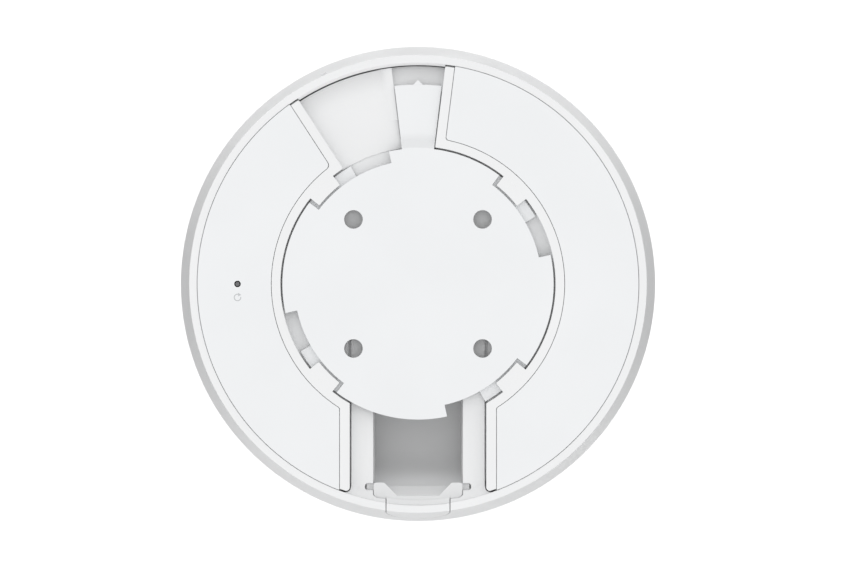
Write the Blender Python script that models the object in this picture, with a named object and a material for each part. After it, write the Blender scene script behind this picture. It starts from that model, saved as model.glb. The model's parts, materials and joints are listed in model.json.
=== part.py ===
"""Ceiling access point, modelled as an assembly of separate pieces.

Lengths are millimetres and angles are degrees; each finished mesh is scaled to metres.
The origin is the centre of the mounting plate's ceiling face. +Z points up at the ceiling,
and +Y points from the cable door to the plate's locking arm, so the device hangs below Z = 0.
"""
import math

import bmesh
import bpy
from mathutils import Matrix, Vector
from mathutils.geometry import tessellate_polygon

MM = 0.001
ARC_STEP = 4.5
SMALL_SIDES = 12
HOLE_SIDES = 16
CORNER_STEPS = 3
GAP = 0.3

# Outer housing: rim against the ceiling, tapered side wall, foot that meets the front radome.
RIM_INNER_RADIUS = 80.2
RIM_RADIUS = 83.0
RIM_TOP = -0.5
RIM_EDGE = -1.1
WIDEST_RADIUS = 86.0
WIDEST_HEIGHT = -22.0
FOOT_RADIUS = 84.9
FOOT_HEIGHT = -26.5
WALL = 2.1
FRONT_FACE = -33.0
RADOME_WALL = 2.0

# Bayonet: four tabs on the rear cover sit on four flanges of the mounting plate.
QUARTERS = (0.0, 90.0, 180.0, 270.0)
TWIST = 24.0
TAB_START = 38.2
TAB_END = 51.5
TAB_RADIUS = 45.7
TAB_TOP = -0.35
TAB_BOTTOM = -1.9
NOTCH_START = 12.4
NOTCH_END = 53.2
NOTCH_RADIUS = 44.9
FLANGE_START = 29.8
FLANGE_TOP = -2.2
FLANGE_BOTTOM = -3.6

# Mounting plate with its locking arm.
PLATE_RADIUS = 49.2
PLATE_THICKNESS = 1.6
SCREW_SPACING = 46.8
SCREW_HOLE_RADIUS = 3.35
ARM_START = 83.3
ARM_END = 96.8
ARM_RADIUS = 72.2
ARM_ROOT = 49.2
ARM_BEND = 52.2
ARM_TOP = -1.6
ARM_BOTTOM = -2.8
NIB_HALF_WIDTH = 1.7
NIB_HEIGHT = 1.55
WEB_INNER = 43.4
WEB_OUTER = 44.75
WEB_BOTTOM = -3.75
WEB_TOP = -0.8
FLANGE_INNER = 43.1
FLANGE_RADIUS = 48.9

# Rear cover: two kidney-shaped pedestals on a deck, each with a recess for its panel.
DECK_RADIUS = 78.8
DECK_TOP = -4.2
DECK_BOTTOM = -8.0
DECK_END = -13.6
RING_RADIUS = 49.85
PEDESTAL_RADIUS = 79.3
PEDESTAL_TOP = -0.25
PEDESTAL_SIDE = 24.75
RIGHT_LEAN = 7.15
LEFT_LEAN = 33.0
BOTTOM_CORNER = 1.7
SEAT = -1.75
SEAT_UNDERSIDE = -3.6
COVER_WALL = 2.0
STRIP = 3.45
PANEL_RADIUS = 79.9
PANEL_INNER_RADIUS = 53.2
PANEL_SIDE = 28.45
PANEL_THICKNESS = 1.2
PANEL_CORNER = 1.1
LINE = 0.15
RECESS_FLOOR = -3.7
RECESS_DEEP = -5.3
RECESS_BEND = 68.0
RECESS_INNER_RADIUS = 49.3
RECESS_RADIUS = 79.0
RAMP_START = 97.0
RAMP_END = 103.0
RAMP_RADIUS = 59.5
RAMP_TOP = -3.2
POCKET_FLOOR = -4.4
POCKET_DEEP = -5.6
POCKET_BEND = 71.0
POCKET_INNER_RADIUS = 53.0
BANK_BOTTOM = -6.5
SKIRT_INNER = 78.2
SKIRT_OUTER = 79.9
SKIRT_TOP = -3.0
SKIRT_BOTTOM = -4.4
SKIRT_SPANS = ((-69.4, 82.5), (123.4, 249.4))

# Cable tray, moulded with the outer housing.
TRAY_SIDE = 24.2
TRAY_END = -14.0
TRAY_TOP = -4.5
TRAY_THICKNESS = 2.3
CAVITY_SIDE = 16.3
CAVITY_WALL = 1.8
CAVITY_FLOOR = -18.5
CAVITY_START = -37.3
CAVITY_END = -78.0
TRAY_FLOOR_THICKNESS = 1.5
COVE_START = 76.4
COVE_END = 80.0
COVE_TOP = -1.9
DOOR_COVE_START = 79.0
RISE_START = -64.5
RISE_TOP = -9.5
WINDOW_SIDE = 7.0
WINDOW_LOW = -18.2
WINDOW_TOP = -8.2
LIP_RADIUS = 2.1
LIP_INNER_RADIUS = 79.3
LIP_TURNS = (180.0, 162.0, 144.0, 126.0, 108.0, 90.0)
MARK_START = -0.45
MARK_END = 1.15
MARK_DEPTH = -6.0

# Cable door and its trunnions.
DOOR_SIDE = 11.4
DOOR_CENTRE = -5.0
EAR_SIDE = 16.1
EAR_TOP = -3.9
EAR_THICKNESS = 4.6
EAR_INNER = -72.0
EAR_UNDERCUT = -76.3
LEDGE_START = -76.8
HINGE_Y = -73.5
HINGE_Z = -6.2
PIN_RADIUS = 1.2
PIN_END = 18.6
SOCKET_HALF_WIDTH = 1.5
SOCKET_END = 19.2
SOCKET_BOSS_INNER = 17.0
SOCKET_BOSS_OUTER = 20.6
SOCKET_BOSS_REACH = 2.4
CHUTE_SIDE = 11.3
SKIN_BOTTOM = -17.3

# Reset switch under its pinhole, with the long button that the pin presses.
RESET_X = -65.45
RESET_Y = 0.0
RESET_HOLE_RADIUS = 1.175
RESET_BOSS_RADIUS = 2.3
RESET_BOSS_TOP = -2.1
RESET_BOSS_FOOT = -14.0
BUTTON_TOP = -2.6
BUTTON_SHOULDER = -15.2
BUTTON_ROD_RADIUS = 0.8
BUTTON_FOOT_RADIUS = 0.95
RESET_TRAVEL = 0.4
SWITCH_SIDE = 6.0
SWITCH_HEIGHT = 3.4

# Electronics.
BOARD_RADIUS = 70.0
BOARD_TOP = -20.3
BOARD_THICKNESS = 1.6
SPREADER_RADIUS = 75.0
SPREADER_TOP = -8.4
SPREADER_BOTTOM = -11.0
JACK_SIDE = 8.1
JACK_FRONT = -35.2
JACK_BACK = -14.6
JACK_TOP = -7.2
SOCKET_SIDE = 6.0
CAN_HEIGHT = 3.0
PAD_HEIGHT = 0.8
LED_Y = 62.0
COVER_SCREW_RING = 66.0
COVER_SCREW_ANGLES = (62.0, 5.0, -52.0, 138.0, 192.0, 232.0)
BOARD_SCREW_PLACES = ((45.0, 38.0), (-45.0, 38.0), (-45.0, -38.0), (45.0, -38.0))
CAN_PLACES = ((38.0, 14.0, 28.0, 24.0), (-36.0, 14.0, 28.0, 24.0), (0.0, 38.0, 26.0, 22.0))
ANTENNA_ANGLES = (15.0, 165.0, 195.0, 345.0)
LEAD_START = 57.0
LEAD_END = 24.0
LEAD_RADIUS = 0.57
LEAD_BEND = 7.0
LEAD_POINTS = 14


def clear_scene():
    for item in list(bpy.data.objects):
        bpy.data.objects.remove(item, do_unlink=True)


def material(name, color, roughness, metallic=0.0):
    found = bpy.data.materials.get(name)
    if found:
        return found
    made = bpy.data.materials.new(name)
    made.use_nodes = True
    shader = made.node_tree.nodes["Principled BSDF"]
    shader.inputs["Base Color"].default_value = (*color, 1.0)
    shader.inputs["Roughness"].default_value = roughness
    shader.inputs["Metallic"].default_value = metallic
    return made


def housing_white():
    return material("housing_white", (0.86, 0.87, 0.88), 0.5)


def cover_white():
    return material("cover_white", (0.87, 0.87, 0.88), 0.5)


def panel_white():
    return material("panel_white", (0.88, 0.89, 0.90), 0.42)


def plate_white():
    return material("plate_white", (0.88, 0.89, 0.90), 0.48)


def board_green():
    return material("board_green", (0.03, 0.16, 0.09), 0.45)


def plated_steel():
    return material("plated_steel", (0.62, 0.62, 0.62), 0.35, 1.0)


def cast_aluminium():
    return material("cast_aluminium", (0.66, 0.67, 0.68), 0.5, 1.0)


def pad_rubber():
    return material("pad_rubber", (0.45, 0.52, 0.60), 0.8)


def gold_contact():
    return material("gold_contact", (0.80, 0.60, 0.25), 0.3, 1.0)


def lead_black():
    return material("lead_black", (0.03, 0.03, 0.03), 0.5)


def clear_plastic():
    return material("clear_plastic", (0.85, 0.88, 0.90), 0.15)


def led_white():
    return material("led_white", (0.90, 0.88, 0.75), 0.3)


def screw_steel():
    return material("screw_steel", (0.55, 0.55, 0.56), 0.35, 1.0)


def switch_grey():
    return material("switch_grey", (0.10, 0.10, 0.11), 0.4)


def button_grey():
    return material("button_grey", (0.36, 0.36, 0.37), 0.5)


# ---- Flat outlines -------------------------------------------------------------------------

def polar(radius, angle):
    turn = math.radians(angle)
    return (radius * math.cos(turn), radius * math.sin(turn))


def arc(radius, start, end, centre=(0.0, 0.0)):
    """Points on a circle from start to end, with both ends."""
    steps = max(1, math.ceil(abs(end - start) / ARC_STEP - 1e-6))
    points = []
    for index in range(steps + 1):
        x, y = polar(radius, start + (end - start) * index / steps)
        points.append((centre[0] + x, centre[1] + y))
    return points


def disc(radius):
    return arc(radius, 0.0, 360.0)[:-1]


def small_circle(x, y, radius, sides=SMALL_SIDES):
    points = []
    for index in range(sides):
        dx, dy = polar(radius, 360.0 * index / sides)
        points.append((x + dx, y + dy))
    return points


def rectangle(x_low, x_high, y_low, y_high):
    return [(x_low, y_low), (x_high, y_low), (x_high, y_high), (x_low, y_high)]


def soft_rectangle(x, y, width, depth, corner):
    points = []
    for index, (sx, sy) in enumerate(((1, 1), (-1, 1), (-1, -1), (1, -1))):
        cx = x + sx * (width / 2 - corner)
        cy = y + sy * (depth / 2 - corner)
        for part in range(4):
            dx, dy = polar(corner, 90.0 * index + 30.0 * part)
            points.append((cx + dx, cy + dy))
    return points


def corner(radius, side, along, inward, offset, fillet):
    """Rounded corner from a circle round the origin to a wall beside it.

    side is +1 where the solid lies outside the circle and -1 where it lies inside. The wall
    runs at the angle along, and lies at the distance offset in the direction inward.
    """
    direction = Vector(polar(1.0, along))
    normal = Vector(polar(1.0, inward))
    reach = radius + side * fillet
    centre = normal * (offset + fillet)
    centre += direction * math.sqrt(reach * reach - (offset + fillet) ** 2)
    if fillet == 0.0:
        return [tuple(centre)]
    on_circle = centre.normalized() * radius - centre
    on_wall = -normal * fillet
    start = math.atan2(on_circle.y, on_circle.x)
    sweep = (math.atan2(on_wall.y, on_wall.x) - start + math.pi) % (2 * math.pi) - math.pi
    points = []
    for index in range(CORNER_STEPS + 1):
        turn = start + sweep * index / CORNER_STEPS
        points.append((centre.x + fillet * math.cos(turn), centre.y + fillet * math.sin(turn)))
    return points


def kidney(mirror, inner, outer, inset, side, inner_fillet=0.0, low_fillet=0.0):
    """Outline of one kidney-shaped area, between two circles, a leaning wall and the channel.

    inset is its distance from the leaning wall at the top, side its distance from the centre
    line at the channel. The left one is mirrored and leans further.
    """
    lean = 90.0 - (LEFT_LEAN if mirror else RIGHT_LEAN)
    low_outer = corner(outer, -1, -90.0, 0.0, side, low_fillet)[::-1]
    top_outer = corner(outer, -1, lean, lean - 90.0, inset, 0.0)
    top_inner = corner(inner, 1, lean, lean - 90.0, inset, inner_fillet)[::-1]
    low_inner = corner(inner, 1, -90.0, 0.0, side, inner_fillet)
    points = low_outer
    points += between(outer, low_outer[-1], top_outer[0])
    points += top_outer + top_inner
    points += between(inner, top_inner[-1], low_inner[0])
    points += low_inner
    if mirror:
        points = [(-x, y) for x, y in reversed(points)]
    return points


def between(radius, first, last):
    """Points on a circle strictly between two of its points, the short way round or CCW."""
    start = math.degrees(math.atan2(first[1], first[0]))
    end = math.degrees(math.atan2(last[1], last[0]))
    return arc(radius, start, end)[1:-1]


def wall_radius(height):
    """Radius of the tapered outer wall at a height."""
    share = (height - RIM_EDGE) / (WIDEST_HEIGHT - RIM_EDGE)
    return RIM_RADIUS + (WIDEST_RADIUS - RIM_RADIUS) * share


def cove_profile(top, start=COVE_START):
    """Slope from a flat top out to the rim, as a closed profile of (radius, height) points."""
    return [(start - 3.0, top - 3.0), (start - 3.0, top), (start - 0.4, top), (start + 0.5, top + 0.25),
            (COVE_END - 0.3, COVE_TOP - 0.15), (COVE_END, COVE_TOP + 0.2),
            (RIM_INNER_RADIUS + 0.1, RIM_TOP - 0.3), (RIM_INNER_RADIUS + 0.45, RIM_TOP - 0.04),
            (81.6, RIM_TOP - 0.04), (81.6, top - 3.0)]


# ---- Solids --------------------------------------------------------------------------------

def prism(loops, low, high):
    """Straight extrusion of an outline, with any further loops as holes."""
    shape = bmesh.new()
    floor = []
    roof = []
    for loop in loops:
        bottom = [shape.verts.new((x, y, low)) for x, y in loop]
        top = [shape.verts.new((x, y, high)) for x, y in loop]
        for index in range(len(loop)):
            after = (index + 1) % len(loop)
            shape.faces.new((bottom[index], bottom[after], top[after], top[index]))
        floor += bottom
        roof += top
    for face in tessellate_polygon([[Vector((x, y, 0.0)) for x, y in loop] for loop in loops]):
        shape.faces.new([floor[index] for index in face])
        shape.faces.new([roof[index] for index in face])
    bmesh.ops.recalc_face_normals(shape, faces=shape.faces)
    return shape


def turned(profile, start=0.0, end=360.0):
    """Closed profile of (radius, height) points turned about the vertical axis."""
    shape = bmesh.new()
    full = end - start >= 360.0
    steps = max(1, math.ceil((end - start) / ARC_STEP - 1e-6))
    rows = []
    for index in range(steps if full else steps + 1):
        angle = start + (end - start) * index / steps
        rows.append([shape.verts.new((*polar(radius, angle), height)) for radius, height in profile])
    for index in range(steps):
        row = rows[index]
        after = rows[(index + 1) % len(rows)]
        for point in range(len(profile)):
            following = (point + 1) % len(profile)
            shape.faces.new((row[point], row[following], after[following], after[point]))
    if not full:
        for face in tessellate_polygon([[Vector((r, z, 0.0)) for r, z in profile]]):
            shape.faces.new([rows[0][index] for index in face])
            shape.faces.new([rows[-1][index] for index in face])
    bmesh.ops.remove_doubles(shape, verts=shape.verts, dist=1e-4)
    bmesh.ops.recalc_face_normals(shape, faces=shape.faces)
    return shape


def upright(loop, y_low, y_high):
    """Extrusion along Y of an outline of (x, z) points."""
    shape = prism([loop], -y_high, -y_low)
    shape.transform(Matrix.Rotation(math.radians(90.0), 4, "X"))
    return shape


def sideways(loop, x_low, x_high):
    """Extrusion along X of an outline of (y, z) points."""
    shape = prism([loop], x_low, x_high)
    turn = Matrix(((0, 0, 1, 0), (1, 0, 0, 0), (0, 1, 0, 0), (0, 0, 0, 1)))
    shape.transform(turn)
    return shape


def block(x_low, x_high, y_low, y_high, low, high):
    return prism([rectangle(x_low, x_high, y_low, y_high)], low, high)


def post(x, y, radius, low, high, sides=SMALL_SIDES):
    return prism([small_circle(x, y, radius, sides)], low, high)


def merged(shapes):
    """Several solids that don't touch, as one shape to cut with."""
    whole = bmesh.new()
    for shape in shapes:
        mesh = bpy.data.meshes.new("part")
        shape.to_mesh(mesh)
        shape.free()
        whole.from_mesh(mesh)
        bpy.data.meshes.remove(mesh)
    return whole


def place(name, shape, finish):
    """Object in metres, made of a shape in millimetres."""
    shape.transform(Matrix.Scale(MM, 4))
    mesh = bpy.data.meshes.new(name)
    shape.to_mesh(mesh)
    shape.free()
    item = bpy.data.objects.new(name, mesh)
    bpy.context.collection.objects.link(item)
    item.data.materials.append(finish)
    return item


def combine(item, shape, operation):
    """Boolean of a shape with an object whose origin is the world's; the shape is used up."""
    tool = place("tool", shape, item.data.materials[0])
    step = item.modifiers.new("step", "BOOLEAN")
    step.operation = operation
    step.solver = "EXACT"
    step.object = tool
    graph = bpy.context.evaluated_depsgraph_get()
    mesh = bpy.data.meshes.new_from_object(item.evaluated_get(graph))
    item.modifiers.clear()
    item.data = mesh
    bpy.data.objects.remove(tool, do_unlink=True)


def join(item, *shapes):
    for shape in shapes:
        combine(item, shape, "UNION")


def cut(item, *shapes):
    for shape in shapes:
        combine(item, shape, "DIFFERENCE")


def keep(item, shape):
    combine(item, shape, "INTERSECT")


def finish_mesh(item, pivot=None):
    """Weld, dissolve flat edges, shade smooth, and move the origin to the pivot if one is given."""
    shape = bmesh.new()
    shape.from_mesh(item.data)
    bmesh.ops.remove_doubles(shape, verts=shape.verts, dist=2e-6)
    bmesh.ops.dissolve_degenerate(shape, dist=2e-6, edges=shape.edges)
    bmesh.ops.dissolve_limit(shape, angle_limit=math.radians(0.5), verts=shape.verts,
                             edges=shape.edges, use_dissolve_boundaries=False)
    bmesh.ops.triangulate(shape, faces=shape.faces)
    if pivot:
        centre = Vector(pivot) * MM
        shape.transform(Matrix.Translation(-centre))
        item.location = centre
    shape.to_mesh(item.data)
    shape.free()
    item.data.shade_smooth()
    item.data.set_sharp_from_angle(angle=math.radians(30.0))
    return item


# ---- Mounting plate ------------------------------------------------------------------------

def screw_places():
    half = SCREW_SPACING / 2
    return [(half, half), (-half, half), (-half, -half), (half, -half)]


def plate_outline():
    points = []
    for quarter in QUARTERS:
        points += arc(NOTCH_RADIUS, quarter + NOTCH_START, quarter + NOTCH_END)
        points += arc(PLATE_RADIUS, quarter + NOTCH_END, quarter + NOTCH_START + 90.0)
    return points


def mounting_plate():
    holes = [small_circle(x, y, SCREW_HOLE_RADIUS, HOLE_SIDES) for x, y in screw_places()]
    item = place("mounting_plate", prism([plate_outline()] + holes, -PLATE_THICKNESS, 0.0), plate_white())
    web = [(WEB_INNER, WEB_BOTTOM), (WEB_OUTER, WEB_BOTTOM), (WEB_OUTER, WEB_TOP), (WEB_INNER, WEB_TOP)]
    flange = [(FLANGE_INNER, FLANGE_BOTTOM), (FLANGE_RADIUS, FLANGE_BOTTOM), (FLANGE_RADIUS, FLANGE_TOP),
              (FLANGE_INNER, FLANGE_TOP)]
    stop = [(FLANGE_INNER - 0.1, FLANGE_BOTTOM + 0.1), (FLANGE_RADIUS - 0.1, FLANGE_BOTTOM + 0.1),
            (FLANGE_RADIUS - 0.1, WEB_TOP), (FLANGE_INNER - 0.1, WEB_TOP)]
    for quarter in QUARTERS:
        join(item, turned(web, quarter + NOTCH_START - 1.0, quarter + NOTCH_END + 1.0))
        join(item, turned(flange, quarter + FLANGE_START, quarter + NOTCH_END + 2.0))
        join(item, turned(stop, quarter + NOTCH_END + 0.2, quarter + NOTCH_END + 1.8))
    arm = [(46.0, -1.3), (ARM_ROOT - 0.6, -1.3), (ARM_BEND - 0.7, ARM_BOTTOM), (ARM_RADIUS, ARM_BOTTOM),
           (ARM_RADIUS, ARM_TOP), (ARM_BEND, ARM_TOP), (ARM_ROOT, -0.03), (48.2, -0.4), (46.0, -0.4)]
    join(item, turned(arm, ARM_START, ARM_END))
    tip = ARM_RADIUS + NIB_HEIGHT
    nib = [(-NIB_HALF_WIDTH, ARM_RADIUS - 1.0), (NIB_HALF_WIDTH, ARM_RADIUS - 1.0),
           (NIB_HALF_WIDTH, ARM_RADIUS - 0.04), (0.2, tip), (-0.2, tip),
           (-NIB_HALF_WIDTH, ARM_RADIUS - 0.04)]
    join(item, prism([nib], ARM_BOTTOM + 0.1, ARM_TOP - 0.1))
    return finish_mesh(item)


# ---- Rear cover and its panels -------------------------------------------------------------

def deck_outline():
    side = PEDESTAL_SIDE + 0.6
    start = -math.degrees(math.acos(side / DECK_RADIUS))
    points = arc(DECK_RADIUS, start, 180.0 - start)
    return points + [(-side, DECK_END), (side, DECK_END)]


def cover_screw_places():
    return [polar(COVER_SCREW_RING, angle) for angle in COVER_SCREW_ANGLES]


def pedestals(item):
    for mirror in (False, True):
        outline = kidney(mirror, RING_RADIUS, PEDESTAL_RADIUS, 0.0, PEDESTAL_SIDE,
                         low_fillet=BOTTOM_CORNER)
        join(item, prism([outline], DECK_BOTTOM + 0.1, PEDESTAL_TOP))


def pedestal_hollows(item):
    for mirror in (False, True):
        seat = kidney(mirror, PANEL_INNER_RADIUS - LINE, 83.0, STRIP - LINE, PANEL_SIDE - LINE,
                      inner_fillet=PANEL_CORNER)
        cut(item, prism([seat], SEAT, 1.0))
        hollow = kidney(mirror, RING_RADIUS + COVER_WALL, PEDESTAL_RADIUS - COVER_WALL, COVER_WALL,
                        PEDESTAL_SIDE + COVER_WALL)
        cut(item, prism([hollow], DECK_BOTTOM - 1.0, SEAT_UNDERSIDE))


def locking_ramp():
    """Wedge beside the arm's pocket: its top falls from the pocket's edge to the recess floor."""
    low = RECESS_DEEP - 0.6
    end_angle = RAMP_END - RAMP_START + 0.2
    steps = 5
    shape = bmesh.new()
    rows = []
    for index in range(steps + 1):
        share = index / steps
        top = RAMP_TOP + (low + 0.1 - RAMP_TOP) * share ** 1.6
        inner = RAMP_RADIUS + 0.9 * share
        section = [(inner, low), (RECESS_RADIUS - 0.1, low), (RECESS_RADIUS - 0.1, top), (inner, top)]
        angle = RAMP_START - 0.2 + end_angle * share
        rows.append([shape.verts.new((*polar(radius, angle), height)) for radius, height in section])
    for row, after in zip(rows, rows[1:]):
        for index in range(len(row)):
            following = (index + 1) % len(row)
            shape.faces.new((row[index], row[following], after[following], after[index]))
    shape.faces.new(rows[0])
    shape.faces.new(rows[-1])
    bmesh.ops.triangulate(shape, faces=shape.faces)
    bmesh.ops.recalc_face_normals(shape, faces=shape.faces)
    return shape


def skirt(item):
    """Narrow ledges at the foot of the pedestals, which cover the gaps to the rim and to the tray."""
    ledge = [(SKIRT_INNER, SKIRT_BOTTOM), (SKIRT_OUTER, SKIRT_BOTTOM), (SKIRT_OUTER, SKIRT_TOP),
             (SKIRT_INNER, SKIRT_TOP)]
    for start, end in SKIRT_SPANS:
        join(item, turned(ledge, start, end))
    for side in (-1, 1):
        near, far = sorted((side * (TRAY_SIDE - 0.1), side * (PEDESTAL_SIDE + 1.2)))
        join(item, block(near, far, -76.0, TRAY_END - 0.5, DECK_BOTTOM + 0.1,
                         TRAY_TOP - TRAY_THICKNESS - GAP))


def recess(item):
    """Sunk floor for the locking arm, with its ramp and the pocket that the arm rests over."""
    start = 90.0 - RIGHT_LEAN - 0.6
    end = 90.0 + LEFT_LEAN + 0.6
    floor = [(RECESS_INNER_RADIUS, DECK_BOTTOM + 0.2), (RECESS_RADIUS, DECK_BOTTOM + 0.2),
             (RECESS_RADIUS, RECESS_DEEP), (RECESS_BEND, RECESS_FLOOR), (RECESS_INNER_RADIUS, RECESS_FLOOR)]
    join(item, turned(floor, start, end), locking_ramp())
    pocket = [(POCKET_INNER_RADIUS, POCKET_FLOOR), (POCKET_BEND, POCKET_FLOOR), (RECESS_RADIUS, POCKET_DEEP),
              (83.0, POCKET_DEEP), (83.0, 1.0), (POCKET_INNER_RADIUS, 1.0)]
    cut(item, turned(pocket, 90.0 - RIGHT_LEAN + 0.05, RAMP_START))


def bayonet_tabs(item):
    tab = [(TAB_RADIUS, TAB_BOTTOM), (RING_RADIUS + 0.8, TAB_BOTTOM), (RING_RADIUS + 0.8, TAB_TOP),
           (TAB_RADIUS, TAB_TOP)]
    for quarter in QUARTERS:
        join(item, turned(tab, quarter + TAB_START, quarter + TAB_END))


def cover_bosses(item):
    places = cover_screw_places()
    for x, y in places:
        join(item, post(x, y, 3.4, DECK_BOTTOM + 0.3, SEAT_UNDERSIDE + 0.6, 12))
    cut(item, merged([post(x, y, 2.4, -3.4, 1.0, 12) for x, y in places]))
    cut(item, merged([post(x, y, 1.5, -9.0, -3.0, 12) for x, y in places]))
    join(item, post(RESET_X, RESET_Y, RESET_BOSS_RADIUS, RESET_BOSS_FOOT, RESET_BOSS_TOP))
    cut(item, post(RESET_X, RESET_Y, RESET_HOLE_RADIUS, RESET_BOSS_FOOT - 1.0, 1.0))


def rear_cover():
    item = place("rear_cover", prism([deck_outline()], DECK_BOTTOM, DECK_TOP), cover_white())
    pedestals(item)
    recess(item)
    pedestal_hollows(item)
    skirt(item)
    bayonet_tabs(item)
    cover_bosses(item)
    return finish_mesh(item)


def panel(name, mirror):
    outline = kidney(mirror, PANEL_INNER_RADIUS + LINE, PANEL_RADIUS, STRIP + LINE, PANEL_SIDE + LINE,
                     inner_fillet=PANEL_CORNER)
    loops = [outline]
    if mirror:
        loops.append(small_circle(RESET_X, RESET_Y, RESET_HOLE_RADIUS))
    shape = prism(loops, PEDESTAL_TOP - PANEL_THICKNESS, PEDESTAL_TOP)
    return finish_mesh(place(name, shape, panel_white()))


# ---- Outer housing with its cable tray -----------------------------------------------------

def housing_profile():
    inner = WIDEST_RADIUS - WALL
    return [(RIM_INNER_RADIUS, -3.0), (RIM_INNER_RADIUS, RIM_TOP - 0.3), (RIM_INNER_RADIUS + 0.3, RIM_TOP),
            (RIM_RADIUS - 0.7, RIM_TOP), (RIM_RADIUS - 0.2, RIM_TOP - 0.2), (RIM_RADIUS, RIM_EDGE),
            (WIDEST_RADIUS, WIDEST_HEIGHT), (WIDEST_RADIUS - 0.3, -24.5), (FOOT_RADIUS, FOOT_HEIGHT),
            (FOOT_RADIUS - 2.0, FOOT_HEIGHT), (inner, WIDEST_HEIGHT), (wall_radius(-4.6) - WALL, -4.6)]


def u_slot(radius):
    """Arch of the side opening, as (x, z) points: straight sides over a half circle."""
    return arc(radius, 180.0, 360.0, (0.0, DOOR_CENTRE)) + [(radius, 2.0), (-radius, 2.0)]


def recess_lip(item):
    """Inner slope of the rim beside the locking arm's recess."""
    centre = (LIP_INNER_RADIUS + LIP_RADIUS, RIM_TOP - 0.05 - LIP_RADIUS)
    slope = [(centre[0] + x, centre[1] + z) for x, z in (polar(LIP_RADIUS, turn) for turn in LIP_TURNS)]
    lip = slope + [(centre[0], RECESS_FLOOR - 0.4), (LIP_INNER_RADIUS, RECESS_FLOOR - 0.4)]
    join(item, turned(lip, 90.0 - RIGHT_LEAN + 0.4, 90.0 + LEFT_LEAN - 0.3))


def bank_outline():
    """Plan of the tray's outer end, which follows the pedestals' rounded corners."""
    reach = PEDESTAL_RADIUS - BOTTOM_CORNER
    x = PEDESTAL_SIDE + BOTTOM_CORNER
    y = -math.sqrt(reach * reach - x * x)
    half = [(TRAY_SIDE - 0.01, -60.0), (TRAY_SIDE - 0.01, y + 0.4)]
    turns = [polar(BOTTOM_CORNER + GAP + 0.05, turn) for turn in range(184, 285, 20)]
    half += [(x + turn_x, y + turn_y) for turn_x, turn_y in turns]
    half += [(x + 1.0, y - 4.5), (TRAY_SIDE, -90.0)]
    return half + [(-x, y) for x, y in reversed(half)]


def tray(item):
    """Strips beside the cable cavity, the cavity's walls and its floor."""
    reach = 82.3
    start = math.degrees(math.asin(TRAY_SIDE / reach))
    plate = arc(reach, 270.0 - start, 270.0 + start) + [(TRAY_SIDE, TRAY_END), (-TRAY_SIDE, TRAY_END)]
    join(item, prism([plate], TRAY_TOP - TRAY_THICKNESS, TRAY_TOP))
    bank = place("bank", turned(cove_profile(TRAY_TOP - 0.02), 248.0, 292.0), housing_white())
    keep(bank, prism([bank_outline()], BANK_BOTTOM, 2.0))
    join(item, taken(bank))
    outside = CAVITY_SIDE + CAVITY_WALL
    low = CAVITY_FLOOR - TRAY_FLOOR_THICKNESS
    join(item, block(-outside, outside, CAVITY_END - 1.0, CAVITY_START + 1.8, low, TRAY_TOP - 0.4))
    end_wall = [(77.0, low + 0.1), (wall_radius(low) - 1.0, low + 0.1), (wall_radius(-4.9) - 1.0, -4.9),
                (77.0, -4.9)]
    join(item, turned(end_wall, 257.5, 282.5))
    for side in (-1, 1):
        near, far = sorted((side * SOCKET_BOSS_INNER, side * SOCKET_BOSS_OUTER))
        join(item, block(near, far, HINGE_Y - SOCKET_BOSS_REACH, HINGE_Y + SOCKET_BOSS_REACH,
                         HINGE_Z - SOCKET_BOSS_REACH, TRAY_TOP - 0.5))


def tray_cuts(item):
    """Cavity with its rising floor, and the room for the door, its pins and the network jack."""
    outside = 2.0
    cut(item, block(-CAVITY_SIDE, CAVITY_SIDE, CAVITY_END, CAVITY_START, CAVITY_FLOOR, outside))
    rise = [(CAVITY_END - 0.5, CAVITY_FLOOR - 0.5), (RISE_START + 4.0, CAVITY_FLOOR - 0.5),
            (RISE_START + 4.0, CAVITY_FLOOR + 0.01), (RISE_START, CAVITY_FLOOR + 0.8),
            (RISE_START - 3.5, CAVITY_FLOOR + 2.6), (CAVITY_END - 0.5, RISE_TOP)]
    join(item, sideways(rise, -CAVITY_SIDE - 0.5, CAVITY_SIDE + 0.5))
    ear = EAR_SIDE + GAP
    cut(item, block(-ear, ear, CAVITY_END - 0.7, EAR_INNER + 0.6, EAR_TOP - EAR_THICKNESS - 0.4, outside))
    cut(item, upright(u_slot(DOOR_SIDE + GAP), -90.0, CAVITY_END + 1.0))
    cut(item, block(-SOCKET_END, SOCKET_END, HINGE_Y - SOCKET_HALF_WIDTH, HINGE_Y + SOCKET_HALF_WIDTH,
                    HINGE_Z - SOCKET_HALF_WIDTH, outside))
    cut(item, block(-WINDOW_SIDE, WINDOW_SIDE, CAVITY_START - 1.0, CAVITY_START + 3.0, WINDOW_LOW, WINDOW_TOP))


def alignment_mark(item):
    """Small slot in the rim's outer edge, which the arm points at when the lock is open."""
    mark = [(RIM_RADIUS + 0.15, MARK_DEPTH), (RIM_RADIUS + 0.7, MARK_DEPTH), (RIM_RADIUS + 0.7, 1.0),
            (RIM_RADIUS + 0.15, 1.0)]
    cut(item, turned(mark, 90.0 + TWIST + MARK_START, 90.0 + TWIST + MARK_END))


def taken(item):
    """The mesh of a helper object as a shape in millimetres; the object is removed."""
    shape = bmesh.new()
    shape.from_mesh(item.data)
    shape.transform(Matrix.Scale(1.0 / MM, 4))
    bpy.data.objects.remove(item, do_unlink=True)
    return shape


def outer_housing():
    item = place("outer_housing", turned(housing_profile()), housing_white())
    recess_lip(item)
    tray(item)
    tray_cuts(item)
    alignment_mark(item)
    return finish_mesh(item)


# ---- Cable door ----------------------------------------------------------------------------

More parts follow.
